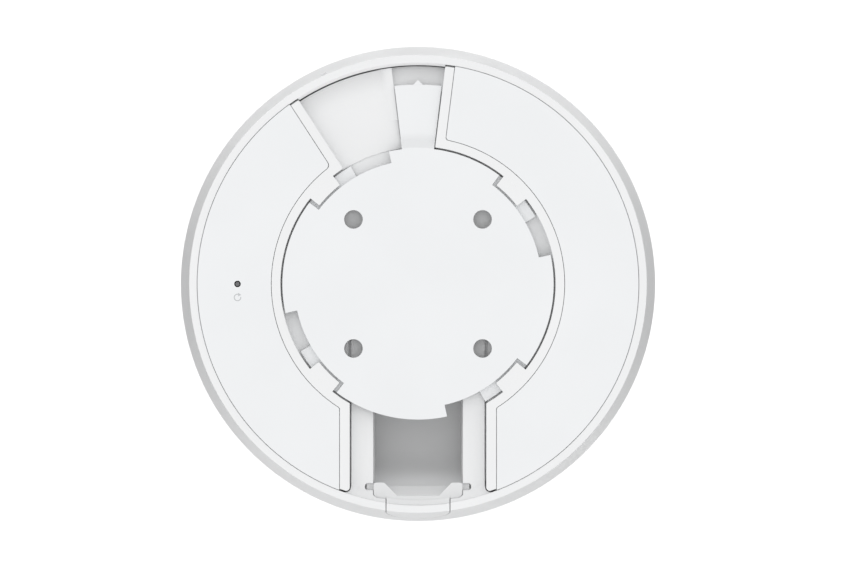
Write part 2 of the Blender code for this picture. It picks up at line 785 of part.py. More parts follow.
def ear_outline():
    """Plan of the ledge with an ear at each end of it."""
    half = [(DOOR_SIDE - 0.1, -78.4), (DOOR_SIDE - 0.1, -77.9), (14.9, -77.5), (EAR_SIDE - 0.3, -77.1),
            (EAR_SIDE, -76.4), (EAR_SIDE, EAR_INNER), (12.2, EAR_INNER), (11.8, EAR_INNER - 0.3),
            (7.5, LEDGE_START)]
    return half + [(-x, y) for x, y in reversed(half)]


def cable_door():
    """Flap over the side opening: outer skin, rim piece, ledge, two ears, chute and two pins."""
    inner = wall_radius(SKIN_BOTTOM) - WALL
    skin = [(81.0, RIM_TOP), (RIM_RADIUS - 0.7, RIM_TOP), (RIM_RADIUS - 0.2, RIM_TOP - 0.2),
            (RIM_RADIUS, RIM_EDGE), (wall_radius(SKIN_BOTTOM), SKIN_BOTTOM), (inner, SKIN_BOTTOM),
            (wall_radius(-6.2) - WALL, -6.2), (81.0, -6.0)]
    item = place("cable_door", turned(skin, 261.0, 279.0), housing_white())
    join(item, turned(cove_profile(EAR_TOP - 0.02, DOOR_COVE_START), 260.7, 279.3))
    cut(item, block(-20.0, 20.0, LEDGE_START - 0.27, -60.0, -20.0, 2.0))
    keep(item, upright(u_slot(DOOR_SIDE), -90.0, -60.0))
    join(item, prism([ear_outline()], EAR_TOP - EAR_THICKNESS, EAR_TOP))
    for side in (-1, 1):
        near, far = sorted((side * (DOOR_SIDE + 0.1), side * (EAR_SIDE + 1.0)))
        cut(item, block(near, far, -79.0, EAR_UNDERCUT, -20.0, HINGE_Z))
    chute = [(LEDGE_START - 0.6, EAR_TOP - 0.5), (LEDGE_START + 0.05, EAR_TOP - 0.1), (-73.1, -8.5),
             (-73.4, -9.0), (-74.6, -8.4), (LEDGE_START - 0.6, -6.0)]
    join(item, sideways(chute, -CHUTE_SIDE, CHUTE_SIDE))
    pin = small_circle(HINGE_Y, HINGE_Z, PIN_RADIUS)
    join(item, sideways(pin, EAR_SIDE - 0.8, PIN_END), sideways(pin, -PIN_END, 0.8 - EAR_SIDE))
    return finish_mesh(item, (0.0, HINGE_Y, HINGE_Z))


# ---- Front radome and status light ---------------------------------------------------------

def front_radome():
    outer = [(84.6, FOOT_HEIGHT - GAP), (83.7, -28.6), (81.5, -30.3), (78.0, -31.5), (70.0, -32.2),
             (45.0, FRONT_FACE), (0.0, FRONT_FACE)]
    inner = [(0.0, FRONT_FACE + RADOME_WALL), (45.0, FRONT_FACE + RADOME_WALL), (76.5, -29.5),
             (81.0, -26.8), (81.0, -24.0), (82.55, -24.0), (82.55, FOOT_HEIGHT - GAP)]
    item = place("front_radome", turned(outer + inner), housing_white())
    cut(item, post(0.0, LED_Y, 1.75, FRONT_FACE - 1.0, -28.0))
    return finish_mesh(item)


def status_light():
    profile = [(0.0, -32.3), (1.4, -32.3), (1.4, -29.9), (2.6, -29.9), (2.6, -29.2), (1.4, -29.2),
               (1.4, -23.6), (0.0, -23.6)]
    shape = turned_small(profile)
    shape.transform(Matrix.Translation((0.0, LED_Y, 0.0)))
    finish_mesh(place("status_light_pipe", shape, clear_plastic()))
    low = BOARD_TOP - BOARD_THICKNESS - GAP
    led = prism([soft_rectangle(0.0, LED_Y, 3.0, 2.4, 0.3)], low - 1.0, low)
    finish_mesh(place("status_led", led, led_white()))


def turned_small(profile):
    """Small turned piece with few sides."""
    shape = bmesh.new()
    rows = []
    for index in range(SMALL_SIDES):
        angle = 360.0 * index / SMALL_SIDES
        rows.append([shape.verts.new((*polar(radius, angle), height)) for radius, height in profile])
    for index in range(SMALL_SIDES):
        row = rows[index]
        after = rows[(index + 1) % SMALL_SIDES]
        for place_index in range(len(profile)):
            following = (place_index + 1) % len(profile)
            shape.faces.new((row[place_index], row[following], after[following], after[place_index]))
    bmesh.ops.remove_doubles(shape, verts=shape.verts, dist=1e-4)
    bmesh.ops.recalc_face_normals(shape, faces=shape.faces)
    return shape


# ---- Electronics ---------------------------------------------------------------------------

def heat_spreader():
    """Cast horseshoe plate with standoffs for the board and a pedestal over each shield can."""
    side = TRAY_SIDE + 2.0
    start = -math.degrees(math.acos(side / SPREADER_RADIUS))
    outline = arc(SPREADER_RADIUS, start, 180.0 - start) + [(-side, -10.0), (side, -10.0)]
    holes = [small_circle(x, y, 1.5, 12) for x, y in cover_screw_places()]
    holes.append(small_circle(RESET_X, RESET_Y, 2.7, 12))
    item = place("heat_spreader", prism([outline] + holes, SPREADER_BOTTOM, SPREADER_TOP), cast_aluminium())
    low = BOARD_TOP + GAP + CAN_HEIGHT + GAP + PAD_HEIGHT + GAP
    for x, y, width, depth in CAN_PLACES:
        join(item, prism([soft_rectangle(x, y, width - 4.0, depth - 4.0, 2.0)], low, SPREADER_BOTTOM + 0.5))
    for x, y in BOARD_SCREW_PLACES:
        join(item, post(x, y, 3.2, BOARD_TOP + GAP, SPREADER_BOTTOM + 0.5, 12))
    cut(item, merged([post(x, y, 1.4, -21.0, -14.0, 12) for x, y in BOARD_SCREW_PLACES]))
    return finish_mesh(item)


def main_board():
    holes = [small_circle(x, y, 1.4, 12) for x, y in BOARD_SCREW_PLACES]
    shape = prism([disc(BOARD_RADIUS)] + holes, BOARD_TOP - BOARD_THICKNESS, BOARD_TOP)
    return finish_mesh(place("main_board", shape, board_green()))


def shield_cans():
    for number, (x, y, width, depth) in enumerate(CAN_PLACES, 1):
        low = BOARD_TOP + GAP
        can = prism([soft_rectangle(x, y, width, depth, 1.2)], low, low + CAN_HEIGHT)
        finish_mesh(place(f"shield_can_{number}", can, plated_steel()))
        pad_low = low + CAN_HEIGHT + GAP
        pad = prism([soft_rectangle(x, y, width - 6.0, depth - 6.0, 1.0)], pad_low, pad_low + PAD_HEIGHT)
        finish_mesh(place(f"thermal_pad_{number}", pad, pad_rubber()))


def network_jack():
    """Shielded modular jack with its mouth towards the cable door, and its contact comb."""
    low = BOARD_TOP + GAP
    item = place("network_jack", block(-JACK_SIDE, JACK_SIDE, JACK_FRONT, JACK_BACK, low, JACK_TOP),
                 plated_steel())
    cut(item, block(-SOCKET_SIDE, SOCKET_SIDE, JACK_FRONT - 1.0, -19.0, low + 2.0, -9.8))
    cut(item, block(-3.2, 3.2, JACK_FRONT - 1.0, -22.0, -10.5, -8.2))
    finish_mesh(item)
    comb = place("jack_contacts", block(-4.6, 4.6, -20.2, -19.35, low + 2.35, low + 3.5), gold_contact())
    for index in range(8):
        x = -3.57 + 1.02 * index
        finger = [(-19.8, low + 2.45), (-29.5, low + 2.45), (-30.2, low + 2.7), (-29.5, low + 2.9),
                  (-19.8, low + 2.9)]
        join(comb, sideways(finger, x - 0.22, x + 0.22))
    finish_mesh(comb)


def reset_switch():
    """Tactile switch on the board, and the long button that carries the pin's push down to it."""
    low = BOARD_TOP + GAP
    body = prism([soft_rectangle(RESET_X, RESET_Y, SWITCH_SIDE, SWITCH_SIDE, 0.4)], low, low + SWITCH_HEIGHT)
    item = place("reset_switch", body, switch_grey())
    cut(item, post(RESET_X, RESET_Y, BUTTON_FOOT_RADIUS + 0.35, low + 0.8, 0.0))
    finish_mesh(item)
    foot = low + 0.8 + RESET_TRAVEL + 0.5
    profile = [(0.0, foot), (BUTTON_FOOT_RADIUS, foot), (BUTTON_FOOT_RADIUS, BUTTON_SHOULDER),
               (BUTTON_ROD_RADIUS, BUTTON_SHOULDER), (BUTTON_ROD_RADIUS, BUTTON_TOP), (0.0, BUTTON_TOP)]
    shape = turned_small(profile)
    shape.transform(Matrix.Translation((RESET_X, RESET_Y, 0.0)))
    finish_mesh(place("reset_button", shape, button_grey()), (RESET_X, RESET_Y, BUTTON_SHOULDER))


def antennas():
    """Stamped inverted-F antennas under the board, each with its coaxial lead."""
    low = BOARD_TOP - BOARD_THICKNESS - GAP
    for number, angle in enumerate(ANTENNA_ANGLES, 1):
        side_view = [(62.5, low), (56.0, low), (56.0, low - 0.5), (62.0, low - 0.5), (62.0, -27.5),
                     (50.0, -27.5), (50.0, -28.0), (62.5, -28.0)]
        shape = upright(side_view, -8.0, 8.0)
        shape.transform(Matrix.Rotation(math.radians(angle), 4, "Z"))
        finish_mesh(place(f"antenna_{number}", shape, plated_steel()))
        lead(number, angle, low - 1.4)


def lead(number, angle, height):
    """Thin coaxial lead from an antenna's foot to the radio, in one loose S-bend."""
    curve = bpy.data.curves.new(f"antenna_lead_{number}", "CURVE")
    curve.dimensions = "3D"
    curve.bevel_depth = LEAD_RADIUS * MM
    curve.bevel_resolution = 1
    curve.use_fill_caps = True
    spline = curve.splines.new("POLY")
    spline.points.add(LEAD_POINTS - 1)
    for index in range(LEAD_POINTS):
        share = index / (LEAD_POINTS - 1)
        radius = LEAD_START - (LEAD_START - LEAD_END) * share
        bend = LEAD_BEND * math.sin(math.pi * 2.0 * share) * share
        x, y = polar(radius, angle + bend)
        spline.points[index].co = (x * MM, y * MM, height * MM, 1.0)
    item = bpy.data.objects.new(f"antenna_lead_{number}", curve)
    curve.materials.append(lead_black())
    bpy.context.collection.objects.link(item)


# ---- Fasteners -----------------------------------------------------------------------------

def screw(name, x, y, head_top, length, flip=False):
    """Pan-head screw; flip points its head down."""
    profile = [(0.0, 0.0), (2.0, 0.0), (2.0, -1.2), (1.15, -1.2), (1.15, -length + 0.6),
               (0.6, -length), (0.0, -length)]
    shape = turned_small(profile)
    if flip:
        shape.transform(Matrix.Rotation(math.pi, 4, "X"))
    shape.transform(Matrix.Translation((x, y, head_top)))
    finish_mesh(place(name, shape, screw_steel()))


def screws():
    for number, (x, y) in enumerate(cover_screw_places(), 1):
        screw(f"cover_screw_{number}", x, y, SEAT - 0.1, 10.6)
    for number, (x, y) in enumerate(BOARD_SCREW_PLACES, 1):
        screw(f"board_screw_{number}", x, y, BOARD_TOP - BOARD_THICKNESS - GAP - 1.2, 7.0, flip=True)


def main():
    clear_scene()
    mounting_plate()
    rear_cover()
    panel("panel_right", False)
    panel("panel_left", True)
    outer_housing()
    cable_door()
    front_radome()
    status_light()
    heat_spreader()
    main_board()
    shield_cans()
    network_jack()
    reset_switch()
    antennas()
    screws()


main()
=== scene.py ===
"""Looks of the ceiling access point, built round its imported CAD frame.

Lengths are millimetres and angles are degrees until a shape becomes an object in metres.
+Z points up at the ceiling, and the origin is the centre of the mounting plate's ceiling face.
"""
import json
import math

import bmesh
import bpy
from mathutils import Matrix, Vector
from mathutils.geometry import tessellate_polygon


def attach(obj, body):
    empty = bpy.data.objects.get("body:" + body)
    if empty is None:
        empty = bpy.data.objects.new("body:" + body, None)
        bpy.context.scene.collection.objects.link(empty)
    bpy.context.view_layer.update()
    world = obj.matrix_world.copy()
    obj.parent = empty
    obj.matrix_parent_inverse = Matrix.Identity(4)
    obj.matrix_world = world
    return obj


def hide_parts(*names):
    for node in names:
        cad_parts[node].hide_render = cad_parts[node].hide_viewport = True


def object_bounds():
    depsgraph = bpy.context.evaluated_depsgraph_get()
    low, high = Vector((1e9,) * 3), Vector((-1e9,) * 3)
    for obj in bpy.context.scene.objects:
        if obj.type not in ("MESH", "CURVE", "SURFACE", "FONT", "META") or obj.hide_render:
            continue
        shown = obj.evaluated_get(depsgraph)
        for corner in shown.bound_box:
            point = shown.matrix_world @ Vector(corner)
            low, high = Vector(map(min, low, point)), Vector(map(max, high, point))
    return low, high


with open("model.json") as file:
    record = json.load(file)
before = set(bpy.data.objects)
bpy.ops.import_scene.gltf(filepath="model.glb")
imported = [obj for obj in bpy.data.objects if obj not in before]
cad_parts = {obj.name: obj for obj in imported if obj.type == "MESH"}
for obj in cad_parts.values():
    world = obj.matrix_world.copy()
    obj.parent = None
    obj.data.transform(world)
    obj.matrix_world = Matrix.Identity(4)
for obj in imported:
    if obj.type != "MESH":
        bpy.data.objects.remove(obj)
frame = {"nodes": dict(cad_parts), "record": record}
cad_low, cad_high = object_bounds()

MM = 0.001
ARC_STEP = 1.5
FINE_STEP = 0.75
FILLET_STEPS = 4
ABOVE = 1.0
FAR_ABOVE = 2.0

# Outer housing and front radome.
RIM_INNER_RADIUS = 80.12
RIM_RADIUS = 83.0
RIM_TOP = -0.5
RIM_EDGE = -1.1
WIDEST_RADIUS = 86.0
WIDEST_HEIGHT = -22.0
FOOT_RADIUS = 84.9
FOOT_HEIGHT = -26.5
WALL = 2.1
FRONT_FACE = -33.0
SEAM = 0.25
LIP_INNER_RADIUS = 79.3
LIP_RADIUS = 81.4
LIP_ROUNDING = 2.1
MARK_RADIUS = 1.5
MARK_DEPTH = -7.0
MARK_GAP = 0.05
MARK_TURN = 0.35

# Bayonet and mounting plate.
QUARTERS = (0.0, 90.0, 180.0, 270.0)
TWIST = 24.0
TAB_START = 38.2
TAB_END = 51.5
TAB_RADIUS = 45.7
TAB_TOP = -0.27
TAB_BOTTOM = -1.9
NOTCH_START = 12.4
NOTCH_END = 53.2
NOTCH_RADIUS = 44.9
FLANGE_START = 29.8
FLANGE_INNER_RADIUS = 43.1
FLANGE_RADIUS = 49.15
FLANGE_TOP = -2.2
FLANGE_BOTTOM = -3.6
WEB_INNER_RADIUS = 43.4
WEB_RADIUS = 44.75
WEB_BOTTOM = -3.75
WEB_TOP = -0.8
STOP_RADIUS = 48.8
STOP_BOTTOM = -3.5
PLATE_RADIUS = 49.2
PLATE_THICKNESS = 1.6
SCREW_SPACING = 46.8
SCREW_HOLE_RADIUS = 3.35
ARM_START = 83.2
ARM_END = 96.8
ARM_RADIUS = 72.35
ARM_ROOT = 49.3
ARM_BEND = 52.2
ARM_TOP = -1.7
ARM_BOTTOM = -2.8
NIB_HALF_WIDTH = 1.7
NIB_HEIGHT = 1.55

# Rear cover and its panels.
DECK_RADIUS = 78.8
DECK_TOP = -4.2
DECK_BOTTOM = -8.0
DECK_END = -13.6
WELL_RADIUS = 41.0
WELL_SIDES = 180
WELL_FLOOR = -4.9
TRAY_WELL_DROP = 0.35
RING_RADIUS = 49.85
PEDESTAL_RADIUS = 79.5
PEDESTAL_TOP = -0.25
PEDESTAL_SIDE = 24.75
RIGHT_LEAN = 7.15
LEFT_LEAN = 33.0
BOTTOM_CORNER = 1.3
SEAT = -1.75
SEAT_UNDERSIDE = -3.6
COVER_WALL = 2.0
STRIP = 3.45
PANEL_RADIUS = 80.0
PANEL_INNER_RADIUS = 53.2
PANEL_SIDE = 28.45
PANEL_THICKNESS = 1.2
PANEL_CORNER = 1.1
PANEL_CREST = 1.8
PEDESTAL_CORNER = 0.35
PEDESTAL_CREST = 0.8
RAIL_INNER = 24.1
RAIL_OUTER = 26.0
RAIL_START = -14.5
RAIL_END = -76.0
RAIL_TOP = -6.95
SKIRT_INNER_RADIUS = 78.2
SKIRT_RADIUS = 79.95
SKIRT_BOTTOM = -4.4
SKIRT_TOP = -3.0
SKIRT_SPANS = ((-69.6, 82.8), (123.1, 249.6))
LINE = 0.1
RECESS_START = 90.0 - RIGHT_LEAN
RECESS_END = 90.0 + LEFT_LEAN
RECESS_FLOOR = -3.7
RECESS_DEEP = -5.3
RECESS_BEND = 68.0
RECESS_INNER_RADIUS = 49.3
RECESS_RADIUS = 78.95
RAMP_START = 97.0
RAMP_END = 103.0
RAMP_RADIUS = 59.5
RAMP_TOP = -3.2
POCKET_FLOOR = -4.4
POCKET_DEEP = -5.6
POCKET_BEND = 71.0
POCKET_INNER_RADIUS = 53.0
RESET_X = -65.45
RESET_Y = 0.0
RESET_HOLE_RADIUS = 1.175
RESET_TUBE_RADIUS = 2.3
RESET_TUBE_TOP = -1.8
RESET_TUBE_BOTTOM = -14.0

# Cable tray and door.
TRAY_SIDE = 24.2
TRAY_END = -14.0
TRAY_TOP = -4.5
TRAY_THICKNESS = 2.3
TRAY_REACH = 82.3
CAVITY_SIDE = 16.3
CAVITY_WALL = 1.8
CAVITY_FLOOR = -18.5
CAVITY_START = -37.3
CAVITY_END = -78.0
CAVITY_DRAFT = 0.8
CAVITY_CORNER = 1.2
TRAY_FLOOR_THICKNESS = 1.5
COVE_START = 76.4
COVE_END = 80.0
COVE_TOP = -1.9
DOOR_COVE_START = 77.8
BANK_START = 248.0
BANK_END = 292.0
BANK_BOTTOM = -6.5
RISE_START = -64.5
RISE_TOP = -9.5
PLUG_SIDE = 7.0
PLUG_BOTTOM = -18.2
PLUG_TOP = -8.2
DOOR_SIDE = 11.45
DOOR_SEAM = 0.3
DOOR_CENTRE = -5.0
SKIN_BOTTOM = -17.3
SKIN_START = 261.0
SKIN_END = 279.0
CHUTE_SIDE = 11.6
EAR_SIDE = 16.1
EAR_TOP = -3.9
EAR_THICKNESS = 4.6
EAR_INNER = -72.0
LEDGE_START = -76.8
HINGE_Y = -73.5
HINGE_Z = -6.2
PIN_FLAT = -5.7
EAR_GAP = 0.1
EAR_END = -77.0
EAR_END_TRIM = 0.07
EAR_UNDERCUT = -76.3
PIN_RADIUS = 1.3
PIN_END = 18.6
SOCKET_RADIUS = 1.36
SOCKET_MOUTH = 1.25
SOCKET_END = 19.25
SOCKET_BOSS_INNER = 17.0
SOCKET_BOSS_OUTER = 20.6
SOCKET_BOSS_REACH = 2.4
LED_Y = 62.0


# ---- Flat outlines -------------------------------------------------------------------------

def polar(radius, angle):
    turn = math.radians(angle)
    return (radius * math.cos(turn), radius * math.sin(turn))


def arc(radius, start, end, centre=(0.0, 0.0), step=ARC_STEP):
    steps = max(1, math.ceil(abs(end - start) / step - 1e-6))
    points = []
    for index in range(steps + 1):
        x, y = polar(radius, start + (end - start) * index / steps)
        points.append((centre[0] + x, centre[1] + y))
    return points


def circle(x, y, radius, sides=48):
    return arc(radius, 0.0, 360.0, (x, y), 360.0 / sides)[:-1]


def rectangle(x_low, x_high, y_low, y_high):
    return [(x_low, y_low), (x_high, y_low), (x_high, y_high), (x_low, y_high)]


def filleted(corners):
    """Polygon whose corners, given as (x, y, radius), are rounded."""
    points = []
    for index, (x, y, radius) in enumerate(corners):
        here = Vector((x, y))
        before = (Vector(corners[index - 1][:2]) - here).normalized()
        after = (Vector(corners[(index + 1) % len(corners)][:2]) - here).normalized()
        opening = before.angle(after)
        if radius <= 0.0 or opening > math.pi - 0.02:
            points.append((x, y))
            continue
        reach = radius / math.tan(opening / 2)
        middle = here + (before + after).normalized() * (radius / math.sin(opening / 2))
        first = here + before * reach - middle
        last = here + after * reach - middle
        start = math.atan2(first.y, first.x)
        sweep = (math.atan2(last.y, last.x) - start + math.pi) % (2 * math.pi) - math.pi
        for step in range(FILLET_STEPS + 1):
            turn = start + sweep * step / FILLET_STEPS
            points.append((middle.x + radius * math.cos(turn), middle.y + radius * math.sin(turn)))
    return points


def corner(radius, side, along, inward, offset, fillet):
    """Rounded corner from a circle round the origin to a wall beside it.

    side is +1 where the solid lies outside the circle and -1 where it lies inside. The wall
    runs at the angle along, and lies at the distance offset in the direction inward.
    """
    direction = Vector(polar(1.0, along))
    normal = Vector(polar(1.0, inward))
    reach = radius + side * fillet
    centre = normal * (offset + fillet)
    centre += direction * math.sqrt(reach * reach - (offset + fillet) ** 2)
    if fillet == 0.0:
        return [tuple(centre)]
    on_circle = centre.normalized() * radius - centre
    on_wall = -normal * fillet
    start = math.atan2(on_circle.y, on_circle.x)
    sweep = (math.atan2(on_wall.y, on_wall.x) - start + math.pi) % (2 * math.pi) - math.pi
    points = []
    for index in range(2 * FILLET_STEPS + 1):
        turn = start + sweep * index / (2 * FILLET_STEPS)
        points.append((centre.x + fillet * math.cos(turn), centre.y + fillet * math.sin(turn)))
    return points


def between(radius, first, last):
    """Points on a circle strictly between two of its points."""
    start = math.degrees(math.atan2(first[1], first[0]))
    end = math.degrees(math.atan2(last[1], last[0]))
    return arc(radius, start, end)[1:-1]


def kidney(mirror, inner, outer, inset, side, inner_fillet=0.0, low_fillet=0.0, top_fillet=0.0,
           crest_fillet=0.0):
    """Outline of one kidney-shaped area, between two circles, a leaning wall and the channel.

    crest_fillet is the upper inner corner's own rounding on the mirrored side.
    """
    lean = 90.0 - (LEFT_LEAN if mirror else RIGHT_LEAN)
    crest = crest_fillet if mirror and crest_fillet else inner_fillet
    low_outer = corner(outer, -1, -90.0, 0.0, side, low_fillet)[::-1]
    top_outer = corner(outer, -1, lean, lean - 90.0, inset, top_fillet)
    top_inner = corner(inner, 1, lean, lean - 90.0, inset, crest)[::-1]
    low_inner = corner(inner, 1, -90.0, 0.0, side, inner_fillet)
    points = low_outer
    points += between(outer, low_outer[-1], top_outer[0])
    points += top_outer + top_inner
    points += between(inner, top_inner[-1], low_inner[0])
    points += low_inner
    if mirror:
        points = [(-x, y) for x, y in reversed(points)]
    return points


def bent(first, middle, last):
    """Smooth corner between two places that leans towards a third, all as (radius, angle)."""
    a, b, c = (Vector(polar(*spot)) for spot in (first, middle, last))
    points = []
    for step in range(FILLET_STEPS + 1):
        share = step / FILLET_STEPS
        bend = a * (1 - share) ** 2 + b * 2 * share * (1 - share) + c * share ** 2
        points.append(tuple(bend))
    return points


def ring_piece(inner, outer, start, end, inner_fillet=0.0):
    """Outline of part of a ring, with its two inner corners rounded if asked."""
    points = arc(outer, start, end)
    if not inner_fillet:
        return points + arc(inner, end, start)
    turn = math.degrees(inner_fillet / inner)
    raised = inner + inner_fillet
    points += bent((raised, end), (inner, end), (inner, end - turn))
    points += arc(inner, end - turn, start + turn)[1:-1]
    return points + bent((inner, start + turn), (inner, start), (raised, start))


def wall_radius(height):
    share = (height - RIM_EDGE) / (WIDEST_HEIGHT - RIM_EDGE)
    return RIM_RADIUS + (WIDEST_RADIUS - RIM_RADIUS) * share


def cove_profile(top, start=COVE_START):
    """Slope from the tray's top or the door's ledge out to the rim, as points (radius, height)."""
    corners = [(start - 3.0, top - 3.0, 0), (start - 3.0, top, 0), (start, top, 1.2),
               (COVE_END, COVE_TOP, 0.5), (RIM_INNER_RADIUS + 0.25, RIM_TOP - 0.02, 0.3),
               (81.6, RIM_TOP - 0.02, 0)]
    return filleted(corners + [(81.6, top - 3.0, 0)])


def offset(loop, inset):
    """The loop moved towards its left by inset, with mitred corners."""
    if inset == 0.0:
        return list(loop)
    moved = []
    count = len(loop)
    for index in range(count):
        here = Vector(loop[index])
        before = (here - Vector(loop[index - 1])).normalized()
        after = (Vector(loop[(index + 1) % count]) - here).normalized()
        first = Vector((-before.y, before.x))
        second = Vector((-after.y, after.x))
        mitre = (first + second) / max(0.3, 1.0 + first.dot(second))
        moved.append(tuple(here + mitre * inset))
    return moved


# ---- Solids --------------------------------------------------------------------------------

def rounded(low, high, top=0.0, bottom=0.0):
    """Levels (height, inset) of an extrusion with rounded upper and lower edges."""
    levels = []
    for index in range(FILLET_STEPS + 1 if bottom else 1):
        turn = math.pi / 2 * index / FILLET_STEPS
        levels.append((low + bottom - bottom * math.cos(turn), bottom - bottom * math.sin(turn)))
    for index in range(FILLET_STEPS + 1 if top else 1):
        turn = math.pi / 2 * index / FILLET_STEPS
        levels.append((high - top + top * math.sin(turn), top - top * math.cos(turn)))
    return levels


def flared(low, surface, flare, beyond=2.0):
    """Levels of a cutting tool that rounds the edge that it leaves at a surface."""
    levels = [(low, 0.0)]
    for index in range(FILLET_STEPS + 1):
        turn = math.pi / 2 * index / FILLET_STEPS
        levels.append((surface - flare + flare * math.sin(turn), flare * math.cos(turn) - flare))
    levels.append((surface + beyond, -flare))
    return levels


def layered(loops, levels):
    """Extrusion of an outline, with further loops as holes, through levels (height, inset)."""
    shape = bmesh.new()
    oriented = []
    for number, loop in enumerate(loops):
        area = sum(a[0] * b[1] - b[0] * a[1] for a, b in zip(loop, loop[1:] + loop[:1]))
        forward = (area > 0) == (number == 0)
        oriented.append(list(loop) if forward else list(reversed(loop)))
    rings = []
    for height, inset in levels:
        rings.append([[shape.verts.new((x, y, height)) for x, y in offset(loop, inset)]
                      for loop in oriented])
    for lower, upper in zip(rings, rings[1:]):
        for bottom, top in zip(lower, upper):
            for index in range(len(bottom)):
                after = (index + 1) % len(bottom)
                shape.faces.new((bottom[index], bottom[after], top[after], top[index]))
    for ring in (rings[0], rings[-1]):
        flat = [vertex for loop in ring for vertex in loop]
        loops_here = [[Vector((v.co.x, v.co.y, 0.0)) for v in loop] for loop in ring]
        for face in tessellate_polygon(loops_here):
            shape.faces.new([flat[index] for index in face])
    bmesh.ops.recalc_face_normals(shape, faces=shape.faces)
    return shape


def prism(loops, low, high):
    return layered(loops, [(low, 0.0), (high, 0.0)])


def turned(profile, start=0.0, end=360.0, step=ARC_STEP):
    """Closed profile of (radius, height) points turned about the vertical axis."""
    shape = bmesh.new()
    full = end - start >= 360.0
    steps = max(1, math.ceil((end - start) / step - 1e-6))
    rows = []
    for index in range(steps if full else steps + 1):
        angle = start + (end - start) * index / steps
        rows.append([shape.verts.new((*polar(radius, angle), height)) for radius, height in profile])
    for index in range(steps):
        row = rows[index]
        after = rows[(index + 1) % len(rows)]
        for point in range(len(profile)):
            following = (point + 1) % len(profile)
            shape.faces.new((row[point], row[following], after[following], after[point]))
    if not full:
        for face in tessellate_polygon([[Vector((r, z, 0.0)) for r, z in profile]]):
            shape.faces.new([rows[0][index] for index in face])
            shape.faces.new([rows[-1][index] for index in face])
    bmesh.ops.remove_doubles(shape, verts=shape.verts, dist=1e-4)
    bmesh.ops.recalc_face_normals(shape, faces=shape.faces)
    return shape


def upright(loop, y_low, y_high):
    """Extrusion along Y of an outline of (x, z) points."""
    shape = prism([loop], -y_high, -y_low)
    shape.transform(Matrix.Rotation(math.radians(90.0), 4, "X"))
    return shape


def sideways(loop, x_low, x_high):
    """Extrusion along X of an outline of (y, z) points."""
    shape = prism([loop], x_low, x_high)
    shape.transform(Matrix(((0, 0, 1, 0), (1, 0, 0, 0), (0, 1, 0, 0), (0, 0, 0, 1))))
    return shape


def block(x_low, x_high, y_low, y_high, low, high):
    return prism([rectangle(x_low, x_high, y_low, y_high)], low, high)


def both_sides(x_low, x_high, *limits):
    """A block and its mirror image across the middle plane, the left one first."""
    return [block(-x_high, -x_low, *limits), block(x_low, x_high, *limits)]


def place(name, shape):
    """Object in metres, made of a shape in millimetres."""
    shape.transform(Matrix.Scale(MM, 4))
    mesh = bpy.data.meshes.new(name)
    shape.to_mesh(mesh)
    shape.free()
    item = bpy.data.objects.new(name, mesh)
    bpy.context.collection.objects.link(item)
    return item


def combine(item, shape, operation):
    tool = place("tool", shape)
    step = item.modifiers.new("step", "BOOLEAN")
    step.operation = operation
    step.solver = "EXACT"
    step.object = tool
    graph = bpy.context.evaluated_depsgraph_get()
    mesh = bpy.data.meshes.new_from_object(item.evaluated_get(graph))
    item.modifiers.clear()
    item.data = mesh
    bpy.data.objects.remove(tool, do_unlink=True)


def join(item, *shapes):
    for shape in shapes:
        combine(item, shape, "UNION")


def cut(item, *shapes):
    for shape in shapes:
        combine(item, shape, "DIFFERENCE")


def keep(item, shape):
    combine(item, shape, "INTERSECT")


def taken(item):
    """The mesh of a helper object as a shape in millimetres; the object is removed."""
    shape = bmesh.new()
    shape.from_mesh(item.data)
    shape.transform(Matrix.Scale(1.0 / MM, 4))
    bpy.data.objects.remove(item, do_unlink=True)
    return shape


def finish_mesh(item, finish, body, slot, *nodes):
    """Clean the mesh, shade it, give it its finish, tie it to its body and hide the CAD nodes it stands
    for.
    """
    shape = bmesh.new()
    shape.from_mesh(item.data)
    bmesh.ops.remove_doubles(shape, verts=shape.verts, dist=2e-6)
    bmesh.ops.dissolve_degenerate(shape, dist=2e-6, edges=shape.edges)
    bmesh.ops.dissolve_limit(shape, angle_limit=math.radians(0.3), verts=shape.verts,
                             edges=shape.edges, use_dissolve_boundaries=False)
    shape.to_mesh(item.data)
    shape.free()
    item.data.materials.clear()
    item.data.materials.append(finish)
    item.data.shade_smooth()
    item.data.set_sharp_from_angle(angle=math.radians(32.0))
    weighted = item.modifiers.new("even_normals", "WEIGHTED_NORMAL")
    weighted.keep_sharp = True
    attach(item, body)
    if nodes:
        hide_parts(*nodes)
    return item


# ---- Materials -----------------------------------------------------------------------------

def node(tree, kind, place_at, **values):
    made = tree.nodes.new(kind)
    made.location = place_at
    for key, value in values.items():
        setattr(made, key, value)
    return made


def new_material(name):
    made = bpy.data.materials.new(name)
    made.use_nodes = True
    tree = made.node_tree
    return made, tree, tree.nodes["Principled BSDF"]


def noise(tree, where, scale, detail, place_at):
    made = node(tree, "ShaderNodeTexNoise", place_at)
    made.inputs["Scale"].default_value = scale
    made.inputs["Detail"].default_value = detail
    tree.links.new(where, made.inputs["Vector"])
    return made


def shaded(color, factor):
    """The colour made darker or lighter, as a value for a colour input."""
    return (*[min(1.0, part * factor) for part in color], 1.0)


def tint(tree, factor, low, high, place_at):
    """Colour between low and high, by a factor of 0 to 1."""
    made = node(tree, "ShaderNodeMix", place_at, data_type="RGBA")
    made.inputs["A"].default_value = low
    made.inputs["B"].default_value = high
    tree.links.new(factor, made.inputs["Factor"])
    return made.outputs["Result"]


def relief(tree, height, strength, distance, place_at):
    made = node(tree, "ShaderNodeBump", place_at)
    made.inputs["Strength"].default_value = strength
    made.inputs["Distance"].default_value = distance
    tree.links.new(height, made.inputs["Height"])
    return made


